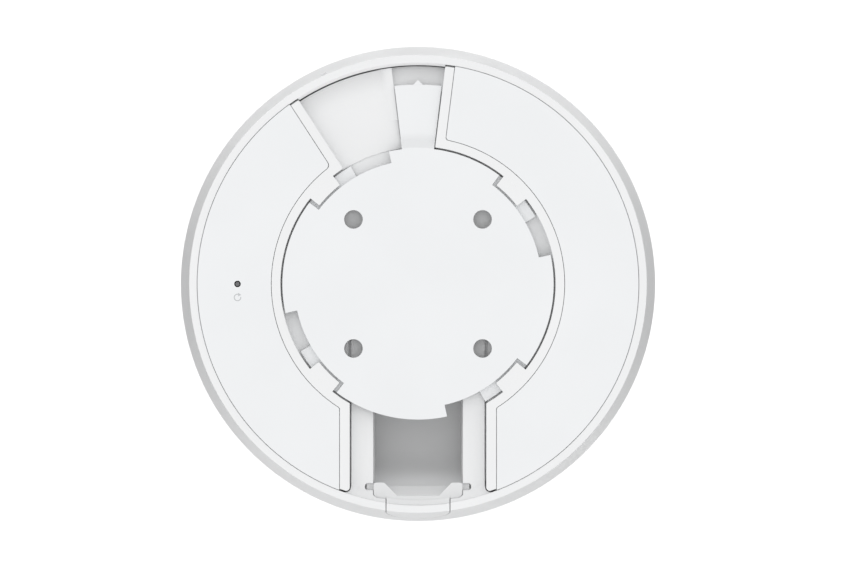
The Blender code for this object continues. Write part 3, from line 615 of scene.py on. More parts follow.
def spread(tree, source, low, high, place_at):
    """Map a noise of 0 to 1 to the range low to high."""
    made = node(tree, "ShaderNodeMapRange", place_at)
    made.inputs["To Min"].default_value = low
    made.inputs["To Max"].default_value = high
    made.inputs["From Min"].default_value = 0.3
    made.inputs["From Max"].default_value = 0.7
    tree.links.new(source.outputs[0], made.inputs["Value"])
    return made


def ramp(tree, value, low, high, place_at):
    """Smooth step from 0 at low to 1 at high, both in millimetres."""
    made = node(tree, "ShaderNodeMapRange", place_at, interpolation_type="SMOOTHSTEP")
    made.inputs["From Min"].default_value = low * MM
    made.inputs["From Max"].default_value = high * MM
    tree.links.new(value, made.inputs["Value"])
    return made.outputs[0]


def product(tree, first, second, place_at):
    made = node(tree, "ShaderNodeMath", place_at, operation="MULTIPLY")
    tree.links.new(first, made.inputs[0])
    tree.links.new(second, made.inputs[1])
    return made.outputs[0]


def painted_shade_mask(tree, where, depth, rise, fall):
    """Mask for painted shade on surfaces below a depth, in a band of radii round the axis."""
    split = node(tree, "ShaderNodeSeparateXYZ", (-1300, 500))
    flat = node(tree, "ShaderNodeVectorMath", (-1300, 700), operation="MULTIPLY")
    flat.inputs[1].default_value = (1.0, 1.0, 0.0)
    radius = node(tree, "ShaderNodeVectorMath", (-1100, 700), operation="LENGTH")
    tree.links.new(where, split.inputs[0])
    tree.links.new(where, flat.inputs[0])
    tree.links.new(flat.outputs["Vector"], radius.inputs[0])
    deep = ramp(tree, split.outputs["Z"], *depth, (-900, 450))
    outer = ramp(tree, radius.outputs["Value"], *rise, (-900, 650))
    inner = ramp(tree, radius.outputs["Value"], *fall, (-900, 850))
    return product(tree, deep, product(tree, outer, inner, (-700, 700)), (-500, 600))


def painted_hollow_shade(tree, where, color, plain, hollow):
    """The plain colour, with a darker one painted as shade where the mask of hollow lies."""
    made = node(tree, "ShaderNodeMix", (-220, 350), data_type="RGBA")
    made.inputs["B"].default_value = shaded(color, hollow[0])
    tree.links.new(painted_shade_mask(tree, where, *hollow[1:]), made.inputs["Factor"])
    tree.links.new(plain, made.inputs["A"])
    return made.outputs["Result"]


def moulded_plastic(name, color, roughness, grain=1.0, shade=0.012, hollow=None):
    """Satin moulded plastic: spark-eroded grain, soft flow variation and uneven gloss.

    hollow is painted shade on inner surfaces where shade falls: its darkening, then their depth and
    radii.
    """
    made, tree, shader = new_material(name)
    where = node(tree, "ShaderNodeTexCoord", (-1100, 0)).outputs["Object"]
    flow = spread(tree, noise(tree, where, 28.0, 3.0, (-900, 250)), 0.0, 1.0, (-680, 250))
    low = shaded(color, 1.0 - shade)
    high = shaded(color, 1.0 + shade)
    base = tint(tree, flow.outputs[0], low, high, (-450, 250))
    # Painted shade: a darker colour laid on recesses and slopes where shade falls.
    if hollow:
        base = painted_hollow_shade(tree, where, color, base, hollow)
    tree.links.new(base, shader.inputs["Base Color"])
    smudge = noise(tree, where, 65.0, 4.0, (-900, 0))
    gloss = spread(tree, smudge, roughness - 0.05, roughness + 0.06, (-680, 0))
    tree.links.new(gloss.outputs[0], shader.inputs["Roughness"])
    fine = noise(tree, where, 4200.0, 2.0, (-900, -250))
    coarse = noise(tree, where, 900.0, 2.0, (-900, -450))
    grains = relief(tree, fine.outputs[0], 0.10 * grain, 0.00004, (-400, -250))
    waves = relief(tree, coarse.outputs[0], 0.05 * grain, 0.00008, (-620, -450))
    tree.links.new(waves.outputs["Normal"], grains.inputs["Normal"])
    tree.links.new(grains.outputs["Normal"], shader.inputs["Normal"])
    shader.inputs["IOR"].default_value = 1.48
    return made


def metal(name, color, roughness, scale, stretch, depth):
    """Rolled, plated or cast metal: streaks or grain in colour, gloss and relief."""
    made, tree, shader = new_material(name)
    where = node(tree, "ShaderNodeTexCoord", (-1100, 0)).outputs["Object"]
    mapping = node(tree, "ShaderNodeMapping", (-950, 0))
    mapping.inputs["Scale"].default_value = stretch
    tree.links.new(where, mapping.inputs["Vector"])
    streak = noise(tree, mapping.outputs["Vector"], scale, 4.0, (-760, 0))
    share = spread(tree, streak, 0.0, 1.0, (-560, 200)).outputs[0]
    base = tint(tree, share, shaded(color, 0.9), shaded(color, 1.08), (-350, 200))
    tree.links.new(base, shader.inputs["Base Color"])
    gloss = spread(tree, streak, roughness - 0.07, roughness + 0.1, (-560, 0))
    tree.links.new(gloss.outputs[0], shader.inputs["Roughness"])
    grains = relief(tree, streak.outputs[0], depth, 0.00005, (-350, -200))
    tree.links.new(grains.outputs["Normal"], shader.inputs["Normal"])
    shader.inputs["Metallic"].default_value = 1.0
    return made


def circuit_board(name):
    """Green solder mask with fine copper lines under it."""
    made, tree, shader = new_material(name)
    source = node(tree, "ShaderNodeTexCoord", (-1100, 0))
    tracks = node(tree, "ShaderNodeTexBrick", (-850, 150))
    tracks.inputs["Scale"].default_value = 260.0
    tracks.inputs["Mortar Size"].default_value = 0.04
    tracks.inputs["Color1"].default_value = (0.012, 0.10, 0.045, 1.0)
    tracks.inputs["Color2"].default_value = (0.016, 0.13, 0.06, 1.0)
    tracks.inputs["Mortar"].default_value = (0.05, 0.24, 0.11, 1.0)
    tree.links.new(source.outputs["Object"], tracks.inputs["Vector"])
    tree.links.new(tracks.outputs["Color"], shader.inputs["Base Color"])
    raised = relief(tree, tracks.outputs["Fac"], 0.3, 0.00003, (-400, -200))
    tree.links.new(raised.outputs["Normal"], shader.inputs["Normal"])
    shader.inputs["Roughness"].default_value = 0.35
    return made


def clear_plastic(name):
    """Slightly hazy clear moulding, as light pipes are."""
    made, tree, shader = new_material(name)
    where = node(tree, "ShaderNodeTexCoord", (-900, 0)).outputs["Object"]
    haze = noise(tree, where, 500.0, 3.0, (-700, 0))
    gloss = spread(tree, haze, 0.12, 0.24, (-450, 0))
    tree.links.new(gloss.outputs[0], shader.inputs["Roughness"])
    base = tint(tree, haze.outputs[0], (0.70, 0.75, 0.78, 1.0), (0.82, 0.86, 0.88, 1.0), (-300, 250))
    tree.links.new(base, shader.inputs["Base Color"])
    shader.inputs["Transmission Weight"].default_value = 0.5
    shader.inputs["IOR"].default_value = 1.49
    return made


WHITE = (0.735, 0.74, 0.745)
COOL_WHITE = (0.73, 0.74, 0.75)
HOUSING = moulded_plastic("housing_white", WHITE, 0.46)
# Painted shade: the cable cavity's deep walls and floor are darkened to 0.6, where shade falls in it.
TRAY = moulded_plastic("tray_white", WHITE, 0.46,
                       hollow=(0.6, (-11.5, -18.2), (20.0, 66.0), (79.0, 78.6)))
# Painted shade: the door's ledge and ears below the rim are darkened to 0.91, where the rim shades them.
DOOR = moulded_plastic("door_white", WHITE, 0.46,
                       hollow=(0.91, (-3.0, -3.6), (-2.0, -1.0), (80.0, 79.5)))
# Painted shade: recess floor and ramp are darkened to 0.88 towards the rim wall, where the rim shades
# them.
COVER = moulded_plastic("cover_white", WHITE, 0.50,
                        hollow=(0.88, (-3.3, -4.1), (70.0, 79.0), (79.4, 79.2)))
PANEL = moulded_plastic("panel_white", COOL_WHITE, 0.40, 0.6)
# Painted shade: the arm's slope down from the disc is darkened to 0.93, as shade on that slope.
PLATE = moulded_plastic("plate_white", COOL_WHITE, 0.46,
                        hollow=(0.93, (-0.02, -0.2), (49.3, 49.5), (55.5, 52.2)))
BUTTON = moulded_plastic("button_grey", (0.36, 0.36, 0.37), 0.5)
PRINT = moulded_plastic("print_grey", (0.47, 0.48, 0.49), 0.55, 0.3)
BOARD = circuit_board("board_green")
PLATED = metal("plated_steel", (0.62, 0.62, 0.60), 0.34, 60.0, (1.0, 12.0, 1.0), 0.08)
SCREW = metal("screw_steel", (0.55, 0.55, 0.56), 0.3, 500.0, (1.0, 1.0, 1.0), 0.1)
CAST = metal("cast_aluminium", (0.66, 0.67, 0.68), 0.48, 900.0, (1.0, 1.0, 1.0), 0.35)
GOLD = metal("gold_contact", (0.83, 0.62, 0.28), 0.25, 400.0, (1.0, 1.0, 1.0), 0.05)
PAD = moulded_plastic("pad_rubber", (0.42, 0.50, 0.60), 0.8, 2.0, 0.05)
LEAD = moulded_plastic("lead_black", (0.025, 0.025, 0.027), 0.5, 1.0, 0.15)
CLEAR = clear_plastic("clear_plastic")
LED = moulded_plastic("led_white", (0.85, 0.82, 0.66), 0.3, 0.3)
SWITCH = moulded_plastic("switch_grey", (0.07, 0.07, 0.075), 0.42, 0.8, 0.1)


# ---- Mounting plate ------------------------------------------------------------------------

def screw_places():
    half = SCREW_SPACING / 2
    return [(half, half), (-half, half), (-half, -half), (half, -half)]


def plate_outline():
    points = []
    for quarter in QUARTERS:
        points += arc(NOTCH_RADIUS, quarter + NOTCH_START, quarter + NOTCH_END)
        points += arc(PLATE_RADIUS, quarter + NOTCH_END, quarter + NOTCH_START + 90.0)
    return points


def sunk_flange(item, quarter):
    """Flange under one notch, with the web that carries it and the stop at its end."""
    start = quarter + FLANGE_START
    stop = quarter + NOTCH_END
    web = rectangle(WEB_INNER_RADIUS, WEB_RADIUS, WEB_BOTTOM, WEB_TOP)
    join(item, turned(web, quarter + NOTCH_START - 1.0, stop + 1.0))
    join(item, layered([ring_piece(FLANGE_INNER_RADIUS, FLANGE_RADIUS, start, stop + 2.0)],
                       rounded(FLANGE_BOTTOM, FLANGE_TOP, 0.15, 0.15)))
    end_wall = rectangle(FLANGE_INNER_RADIUS - 0.1, STOP_RADIUS, STOP_BOTTOM, WEB_TOP)
    join(item, turned(end_wall, stop + 0.2, stop + 1.8))


def locking_arm(item):
    """Springy arm that steps down from the disc, with its pointed nib."""
    arm = filleted([(46.0, -1.3, 0), (ARM_ROOT - 0.6, -1.3, 0), (ARM_BEND - 0.7, ARM_BOTTOM, 0.8),
                    (ARM_RADIUS, ARM_BOTTOM, 0.25), (ARM_RADIUS, ARM_TOP, 0.3),
                    (ARM_BEND, ARM_TOP, 0.8), (ARM_ROOT, -0.02, 0.3), (48.2, -0.02, 0),
                    (48.2, -0.4, 0), (46.0, -0.4, 0)])
    join(item, turned(arm, ARM_START, ARM_END, FINE_STEP))
    tip = ARM_RADIUS + NIB_HEIGHT
    foot = ARM_RADIUS - 0.04
    nib = filleted([(-NIB_HALF_WIDTH, ARM_RADIUS - 1.0, 0), (NIB_HALF_WIDTH, ARM_RADIUS - 1.0, 0),
                    (NIB_HALF_WIDTH, foot, 0), (0.2, tip, 0.15), (-0.2, tip, 0.15),
                    (-NIB_HALF_WIDTH, foot, 0)])
    join(item, layered([nib], rounded(ARM_BOTTOM + 0.1, ARM_TOP - 0.1, 0.12, 0.12)))


def mounting_plate():
    holes = [circle(x, y, SCREW_HOLE_RADIUS) for x, y in screw_places()]
    item = place("plate_disc", layered([plate_outline()] + holes,
                                       rounded(-PLATE_THICKNESS, 0.0, 0.18, 0.18)))
    for quarter in QUARTERS:
        sunk_flange(item, quarter)
    locking_arm(item)
    finish_mesh(item, PLATE, "bracket", "plate_white", "mounting_plate")


# ---- Rear cover and panels -----------------------------------------------------------------

def deck_outline():
    side = PEDESTAL_SIDE + 0.6
    start = -math.degrees(math.acos(side / DECK_RADIUS))
    return arc(DECK_RADIUS, start, 180.0 - start) + [(-side, DECK_END), (side, DECK_END)]


def locking_ramp():
    """Wedge beside the arm's pocket: its top falls from the pocket's edge to the recess floor."""
    low = RECESS_DEEP - 0.6
    shape = bmesh.new()
    steps = math.ceil((RAMP_END - RAMP_START) / ARC_STEP) * 2
    rows = []
    for index in range(steps + 1):
        share = index / steps
        angle = RAMP_START - 0.2 + (RAMP_END - RAMP_START + 0.2) * share
        top = RAMP_TOP + (low + 0.1 - RAMP_TOP) * share ** 1.8
        inner = RAMP_RADIUS + 0.9 * share
        places = [(inner, low), (RECESS_RADIUS - 0.02, low), (RECESS_RADIUS - 0.02, top),
                  (inner + 0.5, top), (inner + 0.1, max(low + 0.05, top - 0.25))]
        rows.append([shape.verts.new((*polar(radius, angle), height)) for radius, height in places])
    for row, after in zip(rows, rows[1:]):
        for index in range(len(row)):
            following = (index + 1) % len(row)
            shape.faces.new((row[index], row[following], after[following], after[index]))
    shape.faces.new(rows[0])
    shape.faces.new(rows[-1])
    bmesh.ops.recalc_face_normals(shape, faces=shape.faces)
    return shape


def pedestals(item):
    for mirror in (False, True):
        outline = kidney(mirror, RING_RADIUS, PEDESTAL_RADIUS, 0.0, PEDESTAL_SIDE,
                         inner_fillet=PEDESTAL_CORNER, low_fillet=BOTTOM_CORNER,
                         top_fillet=PEDESTAL_CORNER, crest_fillet=PEDESTAL_CREST)
        join(item, layered([outline], rounded(DECK_BOTTOM + 0.1, PEDESTAL_TOP, 0.2)))


def arm_recess(item):
    """Sunk area between the pedestals: its floor, the locking ramp and the arm's pocket."""
    low = DECK_BOTTOM + 0.2
    bed = filleted([(RECESS_INNER_RADIUS, low, 0), (RECESS_RADIUS, low, 0),
                    (RECESS_RADIUS, RECESS_DEEP, 0.3), (RECESS_BEND, RECESS_FLOOR, 20.0),
                    (RECESS_INNER_RADIUS, RECESS_FLOOR, 0.3)])
    join(item, turned(bed, RECESS_START - 0.6, RECESS_END + 0.6, FINE_STEP), locking_ramp())
    pocket = filleted([(POCKET_INNER_RADIUS, POCKET_FLOOR, 0), (POCKET_BEND, POCKET_FLOOR, 12.0),
                       (RECESS_RADIUS, POCKET_DEEP, 0), (RIM_RADIUS, POCKET_DEEP, 0),
                       (RIM_RADIUS, ABOVE, 0), (POCKET_INNER_RADIUS, ABOVE, 0)])
    cut(item, turned(pocket, RECESS_START + 0.05, RAMP_START, FINE_STEP))


def panel_seats(item):
    """Seats for the two panels in the pedestals, and the pedestals' hollow undersides."""
    for mirror in (False, True):
        seat = kidney(mirror, PANEL_INNER_RADIUS - LINE, RIM_RADIUS, STRIP - LINE, PANEL_SIDE - LINE,
                      inner_fillet=PANEL_CORNER, crest_fillet=PANEL_CREST)
        cut(item, layered([seat], flared(SEAT, PEDESTAL_TOP, 0.06)))
        hollow = kidney(mirror, RING_RADIUS + COVER_WALL, PEDESTAL_RADIUS - COVER_WALL, COVER_WALL,
                        PEDESTAL_SIDE + COVER_WALL)
        cut(item, prism([hollow], DECK_BOTTOM - 1.0, SEAT_UNDERSIDE))


def rails_and_skirt(item):
    """Rails beside the tray, and the thin skirt inside the housing's rim."""
    join(item, *both_sides(RAIL_INNER, RAIL_OUTER, RAIL_END, RAIL_START, DECK_BOTTOM + 0.1, RAIL_TOP))
    skirt = rectangle(SKIRT_INNER_RADIUS, SKIRT_RADIUS, SKIRT_BOTTOM, SKIRT_TOP)
    for start, end in SKIRT_SPANS:
        join(item, turned(skirt, start, end))


def bayonet_tabs(item):
    for quarter in QUARTERS:
        tab = ring_piece(TAB_RADIUS, RING_RADIUS + 0.8, quarter + TAB_START, quarter + TAB_END, 0.5)
        join(item, layered([tab], rounded(TAB_BOTTOM, TAB_TOP, 0.1, 0.15)))


def reset_tube(item):
    """Tube under the left panel that guides a pin to the reset button."""
    tube = circle(RESET_X, RESET_Y, RESET_TUBE_RADIUS, 32)
    join(item, prism([tube], RESET_TUBE_BOTTOM, RESET_TUBE_TOP))
    bore = circle(RESET_X, RESET_Y, RESET_HOLE_RADIUS, 32)
    cut(item, prism([bore], RESET_TUBE_BOTTOM - 1.0, ABOVE))


def rear_cover():
    item = place("cover_shell", prism([deck_outline()], DECK_BOTTOM, DECK_TOP))
    pedestals(item)
    cut(item, prism([circle(0.0, 0.0, WELL_RADIUS, WELL_SIDES)], WELL_FLOOR, ABOVE))
    arm_recess(item)
    panel_seats(item)
    rails_and_skirt(item)
    bayonet_tabs(item)
    reset_tube(item)
    finish_mesh(item, COVER, "housing", "cover_white", "rear_cover")


def panel(name, mirror):
    outline = kidney(mirror, PANEL_INNER_RADIUS + LINE, PANEL_RADIUS, STRIP + LINE, PANEL_SIDE + LINE,
                     inner_fillet=PANEL_CORNER, low_fillet=0.25, top_fillet=0.25,
                     crest_fillet=PANEL_CREST)
    loops = [outline]
    if mirror:
        loops.append(circle(RESET_X, RESET_Y, RESET_HOLE_RADIUS, 40))
    shape = layered(loops, rounded(PEDESTAL_TOP - PANEL_THICKNESS, PEDESTAL_TOP, 0.1))
    finish_mesh(place(name + "_skin", shape), PANEL, "housing", "panel_white", name)


def reset_icon():
    """Generic round arrow, printed under the reset hole."""
    x, y = RESET_X, RESET_Y - 4.9
    low = PEDESTAL_TOP - 0.01
    high = PEDESTAL_TOP + 0.02
    loop = arc(1.35, 60.0, 370.0, (x, y), 6.0) + arc(1.02, 370.0, 60.0, (x, y), 6.0)
    item = place("reset_icon_loop", prism([loop], low, high))
    reach_x, reach_y = polar(1.19, 60.0)
    tip_x = x + reach_x
    tip_y = y + reach_y
    head = [(tip_x - 0.35, tip_y + 0.65), (tip_x - 0.35, tip_y - 0.65), (tip_x + 0.75, tip_y - 0.1)]
    join(item, prism([head], low + 0.002, high - 0.002))
    finish_mesh(item, PRINT, "housing", "panel_white")


# ---- Outer housing, tray and door ----------------------------------------------------------

def housing_profile():
    inner = WIDEST_RADIUS - WALL
    return filleted([(RIM_INNER_RADIUS, -3.0, 0), (RIM_INNER_RADIUS, RIM_TOP, 0.3),
                     (RIM_RADIUS, RIM_TOP, 0.3), (WIDEST_RADIUS, WIDEST_HEIGHT, 1.5),
                     (FOOT_RADIUS + 0.1, FOOT_HEIGHT, 0.25), (FOOT_RADIUS - 2.0, FOOT_HEIGHT, 0),
                     (inner, WIDEST_HEIGHT, 0), (wall_radius(-4.6) - WALL, -4.6, 0)])


def u_slot(radius):
    """Arch of the side opening, as (x, z) points: straight sides over a half circle."""
    bow = arc(radius, 180.0, 360.0, (0.0, DOOR_CENTRE), 5.0)
    return bow + [(radius, FAR_ABOVE), (-radius, FAR_ABOVE)]


def bank_outline():
    """Plan of the tray's outer end, which follows the pedestals' rounded corners."""
    reach = PEDESTAL_RADIUS - BOTTOM_CORNER
    x = PEDESTAL_SIDE + BOTTOM_CORNER
    y = -math.sqrt(reach * reach - x * x)
    half = [(TRAY_SIDE - 0.01, -60.0), (TRAY_SIDE - 0.01, y + 0.4)]
    half += arc(BOTTOM_CORNER + 0.4, 180.0, 284.0, (x, y), 6.0)
    half += [(x + 1.0, y - 4.5), (TRAY_SIDE, -90.0)]
    return half + [(-x, y) for x, y in reversed(half)]


def tray_solids(item):
    """Tray plate, its raised bank at the rim, the cavity's box and the bosses for the pins."""
    start = math.degrees(math.asin(TRAY_SIDE / TRAY_REACH))
    plate = arc(TRAY_REACH, 270.0 - start, 270.0 + start)
    plate += [(TRAY_SIDE, TRAY_END), (-TRAY_SIDE, TRAY_END)]
    join(item, layered([plate], rounded(TRAY_TOP - TRAY_THICKNESS, TRAY_TOP, 0.2)))
    bank = place("bank", turned(cove_profile(TRAY_TOP - 0.02), BANK_START, BANK_END))
    keep(bank, prism([bank_outline()], BANK_BOTTOM, FAR_ABOVE))
    join(item, taken(bank))
    outside = CAVITY_SIDE + CAVITY_WALL
    low = CAVITY_FLOOR - TRAY_FLOOR_THICKNESS
    join(item, block(-outside, outside, CAVITY_END - 1.0, CAVITY_START + 1.8, low, TRAY_TOP - 0.4))
    high = -4.9
    end_wall = [(77.0, low + 0.1), (wall_radius(low) - 1.0, low + 0.1),
                (wall_radius(high) - 1.0, high), (77.0, high)]
    join(item, turned(end_wall, 257.5, 282.5))
    join(item, *both_sides(SOCKET_BOSS_INNER, SOCKET_BOSS_OUTER, HINGE_Y - SOCKET_BOSS_REACH,
                           HINGE_Y + SOCKET_BOSS_REACH, HINGE_Z - SOCKET_BOSS_REACH, TRAY_TOP - 0.5))


def outer_housing():
    item = place("housing_shell", turned(housing_profile()))
    lip = arc(LIP_ROUNDING, 180.0, 90.0, (LIP_RADIUS, RIM_TOP - 2.13), 9.0)
    lip += [(LIP_RADIUS, DECK_TOP), (LIP_INNER_RADIUS, DECK_TOP)]
    join(item, turned(lip, RECESS_START + 0.05, RECESS_END - 0.05))
    tray_solids(item)
    tray_cuts(item)
    x, y = polar(RIM_RADIUS + MARK_GAP + MARK_RADIUS, 90.0 + TWIST + MARK_TURN)
    cut(item, prism([circle(x, y, MARK_RADIUS)], MARK_DEPTH, ABOVE))
    finish_mesh(item, TRAY, "housing", "housing_white", "outer_housing")


def tray_cuts(item):
    """Well under the plate, cable cavity with its rising floor, door opening and pin sockets."""
    well = circle(0.0, 0.0, WELL_RADIUS, WELL_SIDES)
    cut(item, prism([well], WELL_FLOOR - TRAY_WELL_DROP, FAR_ABOVE))
    plan = rectangle(-CAVITY_SIDE, CAVITY_SIDE, CAVITY_END + 0.8, CAVITY_START)
    cavity = filleted([(x, y, CAVITY_CORNER) for x, y in plan])
    cut(item, layered([cavity], [(CAVITY_FLOOR, CAVITY_DRAFT), (TRAY_TOP, 0.0), (FAR_ABOVE, 0.0)]))
    rise = filleted([(CAVITY_END - 0.5, CAVITY_FLOOR - 0.5, 0), (-50.0, CAVITY_FLOOR - 0.5, 0),
                     (-50.0, CAVITY_FLOOR + 0.01, 0), (RISE_START, CAVITY_FLOOR + 0.01, 14.0),
                     (CAVITY_END - 0.5, RISE_TOP, 0)])
    join(item, sideways(rise, -CAVITY_SIDE - 0.5, CAVITY_SIDE + 0.5))
    room = [(x, y + EAR_END_TRIM if y < EAR_END else y) for x, y in offset(ear_outline(), -EAR_GAP)]
    cut(item, prism([room], EAR_TOP - EAR_THICKNESS - 0.4, FAR_ABOVE))
    cut(item, upright(u_slot(DOOR_SIDE + DOOR_SEAM), -90.0, CAVITY_END + 1.0))
    plan = rectangle(-SOCKET_END, SOCKET_END, HINGE_Y - SOCKET_MOUTH, HINGE_Y + SOCKET_MOUTH)
    mouth = filleted([(x, y, 1.0) for x, y in plan])
    tunnel = circle(HINGE_Y, HINGE_Z, SOCKET_RADIUS, 40)
    cut(item, prism([mouth], HINGE_Z, FAR_ABOVE), sideways(tunnel, -SOCKET_END, SOCKET_END))
    cut(item, block(-PLUG_SIDE, PLUG_SIDE, CAVITY_START - 1.0, CAVITY_START + 3.0, PLUG_BOTTOM, PLUG_TOP))


def ear_outline():
    half = [(11.3, -78.6, 0), (11.3, -77.9, 0), (15.0, -77.5, 0.9), (EAR_SIDE, -76.6, 1.4),
            (EAR_SIDE, EAR_INNER, 0.9), (12.2, EAR_INNER, 0.9), (7.5, LEDGE_START, 0.6)]
    whole = half + [(-x, y, fillet) for x, y, fillet in reversed(half)]
    return filleted(whole)


def cable_door():
    """Flap over the side opening: skin, rim piece, ledge, two ears, chute and two pins."""
    foot = wall_radius(SKIN_BOTTOM)
    skin = filleted([(81.0, RIM_TOP, 0), (RIM_RADIUS, RIM_TOP, 0.3), (foot, SKIN_BOTTOM, 0),
                     (foot - WALL, SKIN_BOTTOM, 0), (wall_radius(-6.2) - WALL, -6.2, 0),
                     (81.0, -6.0, 0)])
    item = place("door_flap", turned(skin, SKIN_START, SKIN_END, FINE_STEP))
    cove = cove_profile(EAR_TOP - 0.02, DOOR_COVE_START)
    join(item, turned(cove, SKIN_START - 0.3, SKIN_END + 0.3, FINE_STEP))
    cut(item, block(-20.0, 20.0, LEDGE_START - 0.27, -60.0, -20.0, FAR_ABOVE))
    keep(item, upright(u_slot(DOOR_SIDE), -90.0, -60.0))
    join(item, layered([ear_outline()], rounded(EAR_TOP - EAR_THICKNESS, EAR_TOP, 0.12, 0.2)))
    cut(item, *both_sides(11.55, 17.0, -79.0, EAR_UNDERCUT, -20.0, HINGE_Z))
    chute = filleted([(LEDGE_START - 0.6, EAR_TOP - 0.5, 0), (LEDGE_START + 0.05, EAR_TOP - 0.1, 0),
                      (-73.1, -8.5, 0.25), (-73.4, -9.0, 0.2), (-74.6, -8.4, 0.3),
                      (LEDGE_START - 0.6, -6.0, 0)])
    join(item, sideways(chute, -CHUTE_SIDE, CHUTE_SIDE))
    pin = [(y, min(z, PIN_FLAT)) for y, z in circle(HINGE_Y, HINGE_Z, PIN_RADIUS)]
    join(item, sideways(pin, EAR_SIDE - 0.8, PIN_END), sideways(pin, -PIN_END, 0.8 - EAR_SIDE))
    finish_mesh(item, DOOR, "door", "housing_white", "cable_door")


# ---- Front radome and status light ---------------------------------------------------------

def front_radome():
    outer = [(84.75, FOOT_HEIGHT - SEAM, 0.2), (83.6, -29.6, 3.0), (78.5, -31.9, 6.0),
             (45.0, FRONT_FACE, 60.0), (0.0, FRONT_FACE, 0)]
    inner = [(0.0, FRONT_FACE + 2.0, 0), (45.0, FRONT_FACE + 2.0, 0), (76.5, -29.5, 0), (79.6, -28.3, 0),
             (81.0, -26.8, 0), (81.0, -24.0, 0), (82.55, -24.0, 0), (82.55, FOOT_HEIGHT - SEAM, 0)]
    item = place("radome_shell", turned(filleted(outer + inner)))
    cut(item, prism([circle(0.0, LED_Y, 1.75, 40)], FRONT_FACE - 1.0, -28.0))
    finish_mesh(item, HOUSING, "housing", "housing_white", "front_radome")


def status_lens():
    profile = filleted([(0.0, -32.3, 0), (1.6, -32.3, 0.25), (1.6, -29.9, 0), (2.6, -29.9, 0.1),
                        (2.6, -29.2, 0.1), (1.4, -29.2, 0), (1.4, -23.6, 0.1), (0.0, -23.6, 0)])
    shape = turned(profile, 0.0, 360.0, 9.0)
    shape.transform(Matrix.Translation((0.0, LED_Y, 0.0)))
    finish_mesh(place("status_lens", shape), CLEAR, "housing", "clear_plastic", "status_light_pipe")


# ---- CAD nodes that stay -------------------------------------------------------------------

def finish_cad_nodes():
    """Procedural finish on each CAD node that keeps its own shape."""
    finishes = {"board_green": BOARD, "plated_steel": PLATED, "screw_steel": SCREW,
                "cast_aluminium": CAST, "gold_contact": GOLD, "pad_rubber": PAD, "lead_black": LEAD,
                "clear_plastic": CLEAR, "led_white": LED, "switch_grey": SWITCH,
                "housing_white": HOUSING, "cover_white": COVER, "panel_white": PANEL,
                "plate_white": PLATE, "button_grey": BUTTON}
    slots = {row["node"]: row["material_slot"] for row in frame["record"]["subparts"]}
    for name, item in frame["nodes"].items():
        finish = finishes[slots[name]]
        if not item.material_slots:
            item.data.materials.append(finish)
        for used in item.material_slots:
            used.material = finish


# ---- Stage, light and camera ---------------------------------------------------------------

FLOOR_DROP = 0.30
VIEW_WIDTH = 0.30603
VIEW_DISTANCE = 0.6
VIEW_X = 0.00145
VIEW_Y = -0.00274


def floor():
    """Pale floor some way under the hanging device; it is clear from below."""
    mesh = bpy.data.meshes.new("floor")
    side = 4.0
    height = cad_low.z - FLOOR_DROP
    corners = [(-side, -side, height), (side, -side, height), (side, side, height), (-side, side, height)]
    mesh.from_pydata(corners, [], [(0, 1, 2, 3)])
    item = bpy.data.objects.new("floor", mesh)
    bpy.context.collection.objects.link(item)
    made, tree, shader = new_material("floor_white")
    shader.inputs["Base Color"].default_value = (0.96, 0.96, 0.96, 1.0)
    shader.inputs["Roughness"].default_value = 0.9
    shader.inputs["Specular IOR Level"].default_value = 0.0
    clear = node(tree, "ShaderNodeBsdfTransparent", (0, -300))
    side_seen = node(tree, "ShaderNodeNewGeometry", (-300, 100))
    mix = node(tree, "ShaderNodeMixShader", (300, 0))
    tree.links.new(side_seen.outputs["Backfacing"], mix.inputs[0])
    tree.links.new(shader.outputs[0], mix.inputs[1])
    tree.links.new(clear.outputs[0], mix.inputs[2])
    tree.links.new(mix.outputs[0], tree.nodes["Material Output"].inputs["Surface"])
    mesh.materials.append(made)
    item.visible_diffuse = False
    item.visible_glossy = False
    item.visible_shadow = False


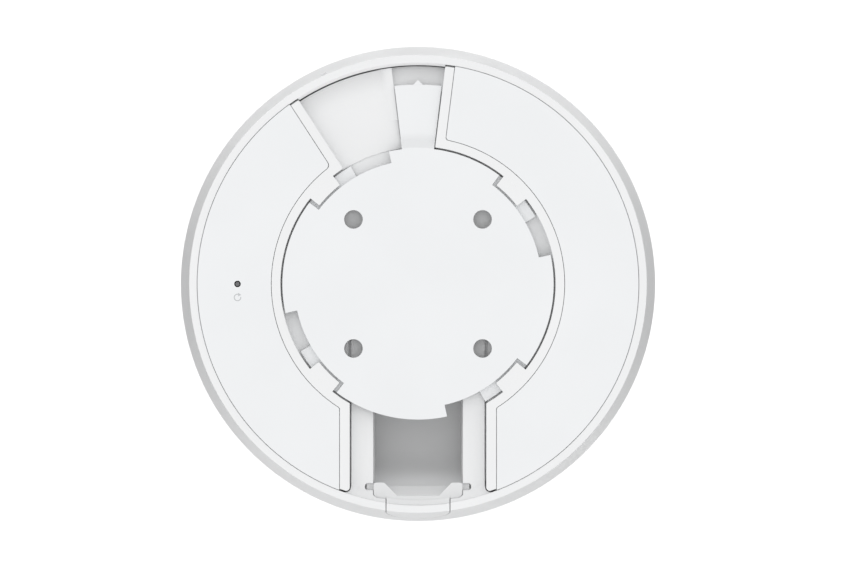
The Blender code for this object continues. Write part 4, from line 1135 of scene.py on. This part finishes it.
def softbox(name, azimuth, elevation, width, depth, power, distance=2.0):
    """Area light that faces the object, seen from azimuth (0 along +X) and elevation."""
    data = bpy.data.lights.new(name, "AREA")
    data.shape = "RECTANGLE"
    data.size = width
    data.size_y = depth
    data.energy = power
    item = bpy.data.objects.new(name, data)
    flat = distance * math.cos(math.radians(elevation))
    item.location = (*polar(flat, azimuth), distance * math.sin(math.radians(elevation)))
    item.rotation_euler = (-item.location).to_track_quat("-Z", "Y").to_euler()
    item.visible_camera = False
    bpy.context.collection.objects.link(item)


DOME_ABOVE = 1.18
DOME_BELOW = 0.175


def light():
    """Even dome above the object, a dim one below it, and three softboxes from below."""
    world = bpy.data.worlds.new("world")
    bpy.context.scene.world = world
    world.use_nodes = True
    tree = world.node_tree
    back = tree.nodes["Background"]
    back.inputs["Color"].default_value = (1.0, 1.0, 1.0, 1.0)
    direction = node(tree, "ShaderNodeTexCoord", (-900, 0))
    split = node(tree, "ShaderNodeSeparateXYZ", (-700, 0))
    horizon = node(tree, "ShaderNodeMapRange", (-450, 0))
    horizon.inputs["From Min"].default_value = -0.02
    horizon.inputs["From Max"].default_value = 0.02
    horizon.inputs["To Min"].default_value = DOME_BELOW
    horizon.inputs["To Max"].default_value = DOME_ABOVE
    tree.links.new(direction.outputs["Generated"], split.inputs[0])
    tree.links.new(split.outputs["Z"], horizon.inputs["Value"])
    tree.links.new(horizon.outputs[0], back.inputs["Strength"])
    softbox("far_side", 90.0, -25.0, 1.5, 0.7, 21.0)
    softbox("near_side", 270.0, -25.0, 1.4, 0.7, 15.0)
    softbox("below", 0.0, -90.0, 0.8, 0.8, 12.0)


def camera():
    """View straight along the axis onto the mounting side, without perspective."""
    data = bpy.data.cameras.new("camera")
    data.type = "ORTHO"
    data.ortho_scale = VIEW_WIDTH
    item = bpy.data.objects.new("camera", data)
    item.location = (VIEW_X, VIEW_Y, VIEW_DISTANCE)
    bpy.context.collection.objects.link(item)
    bpy.context.scene.camera = item
    bpy.context.scene.view_settings.view_transform = "Standard"


camera()
floor()
light()
mounting_plate()
rear_cover()
panel("panel_right", False)
panel("panel_left", True)
reset_icon()
outer_housing()
cable_door()
front_radome()
status_lens()
finish_cad_nodes()
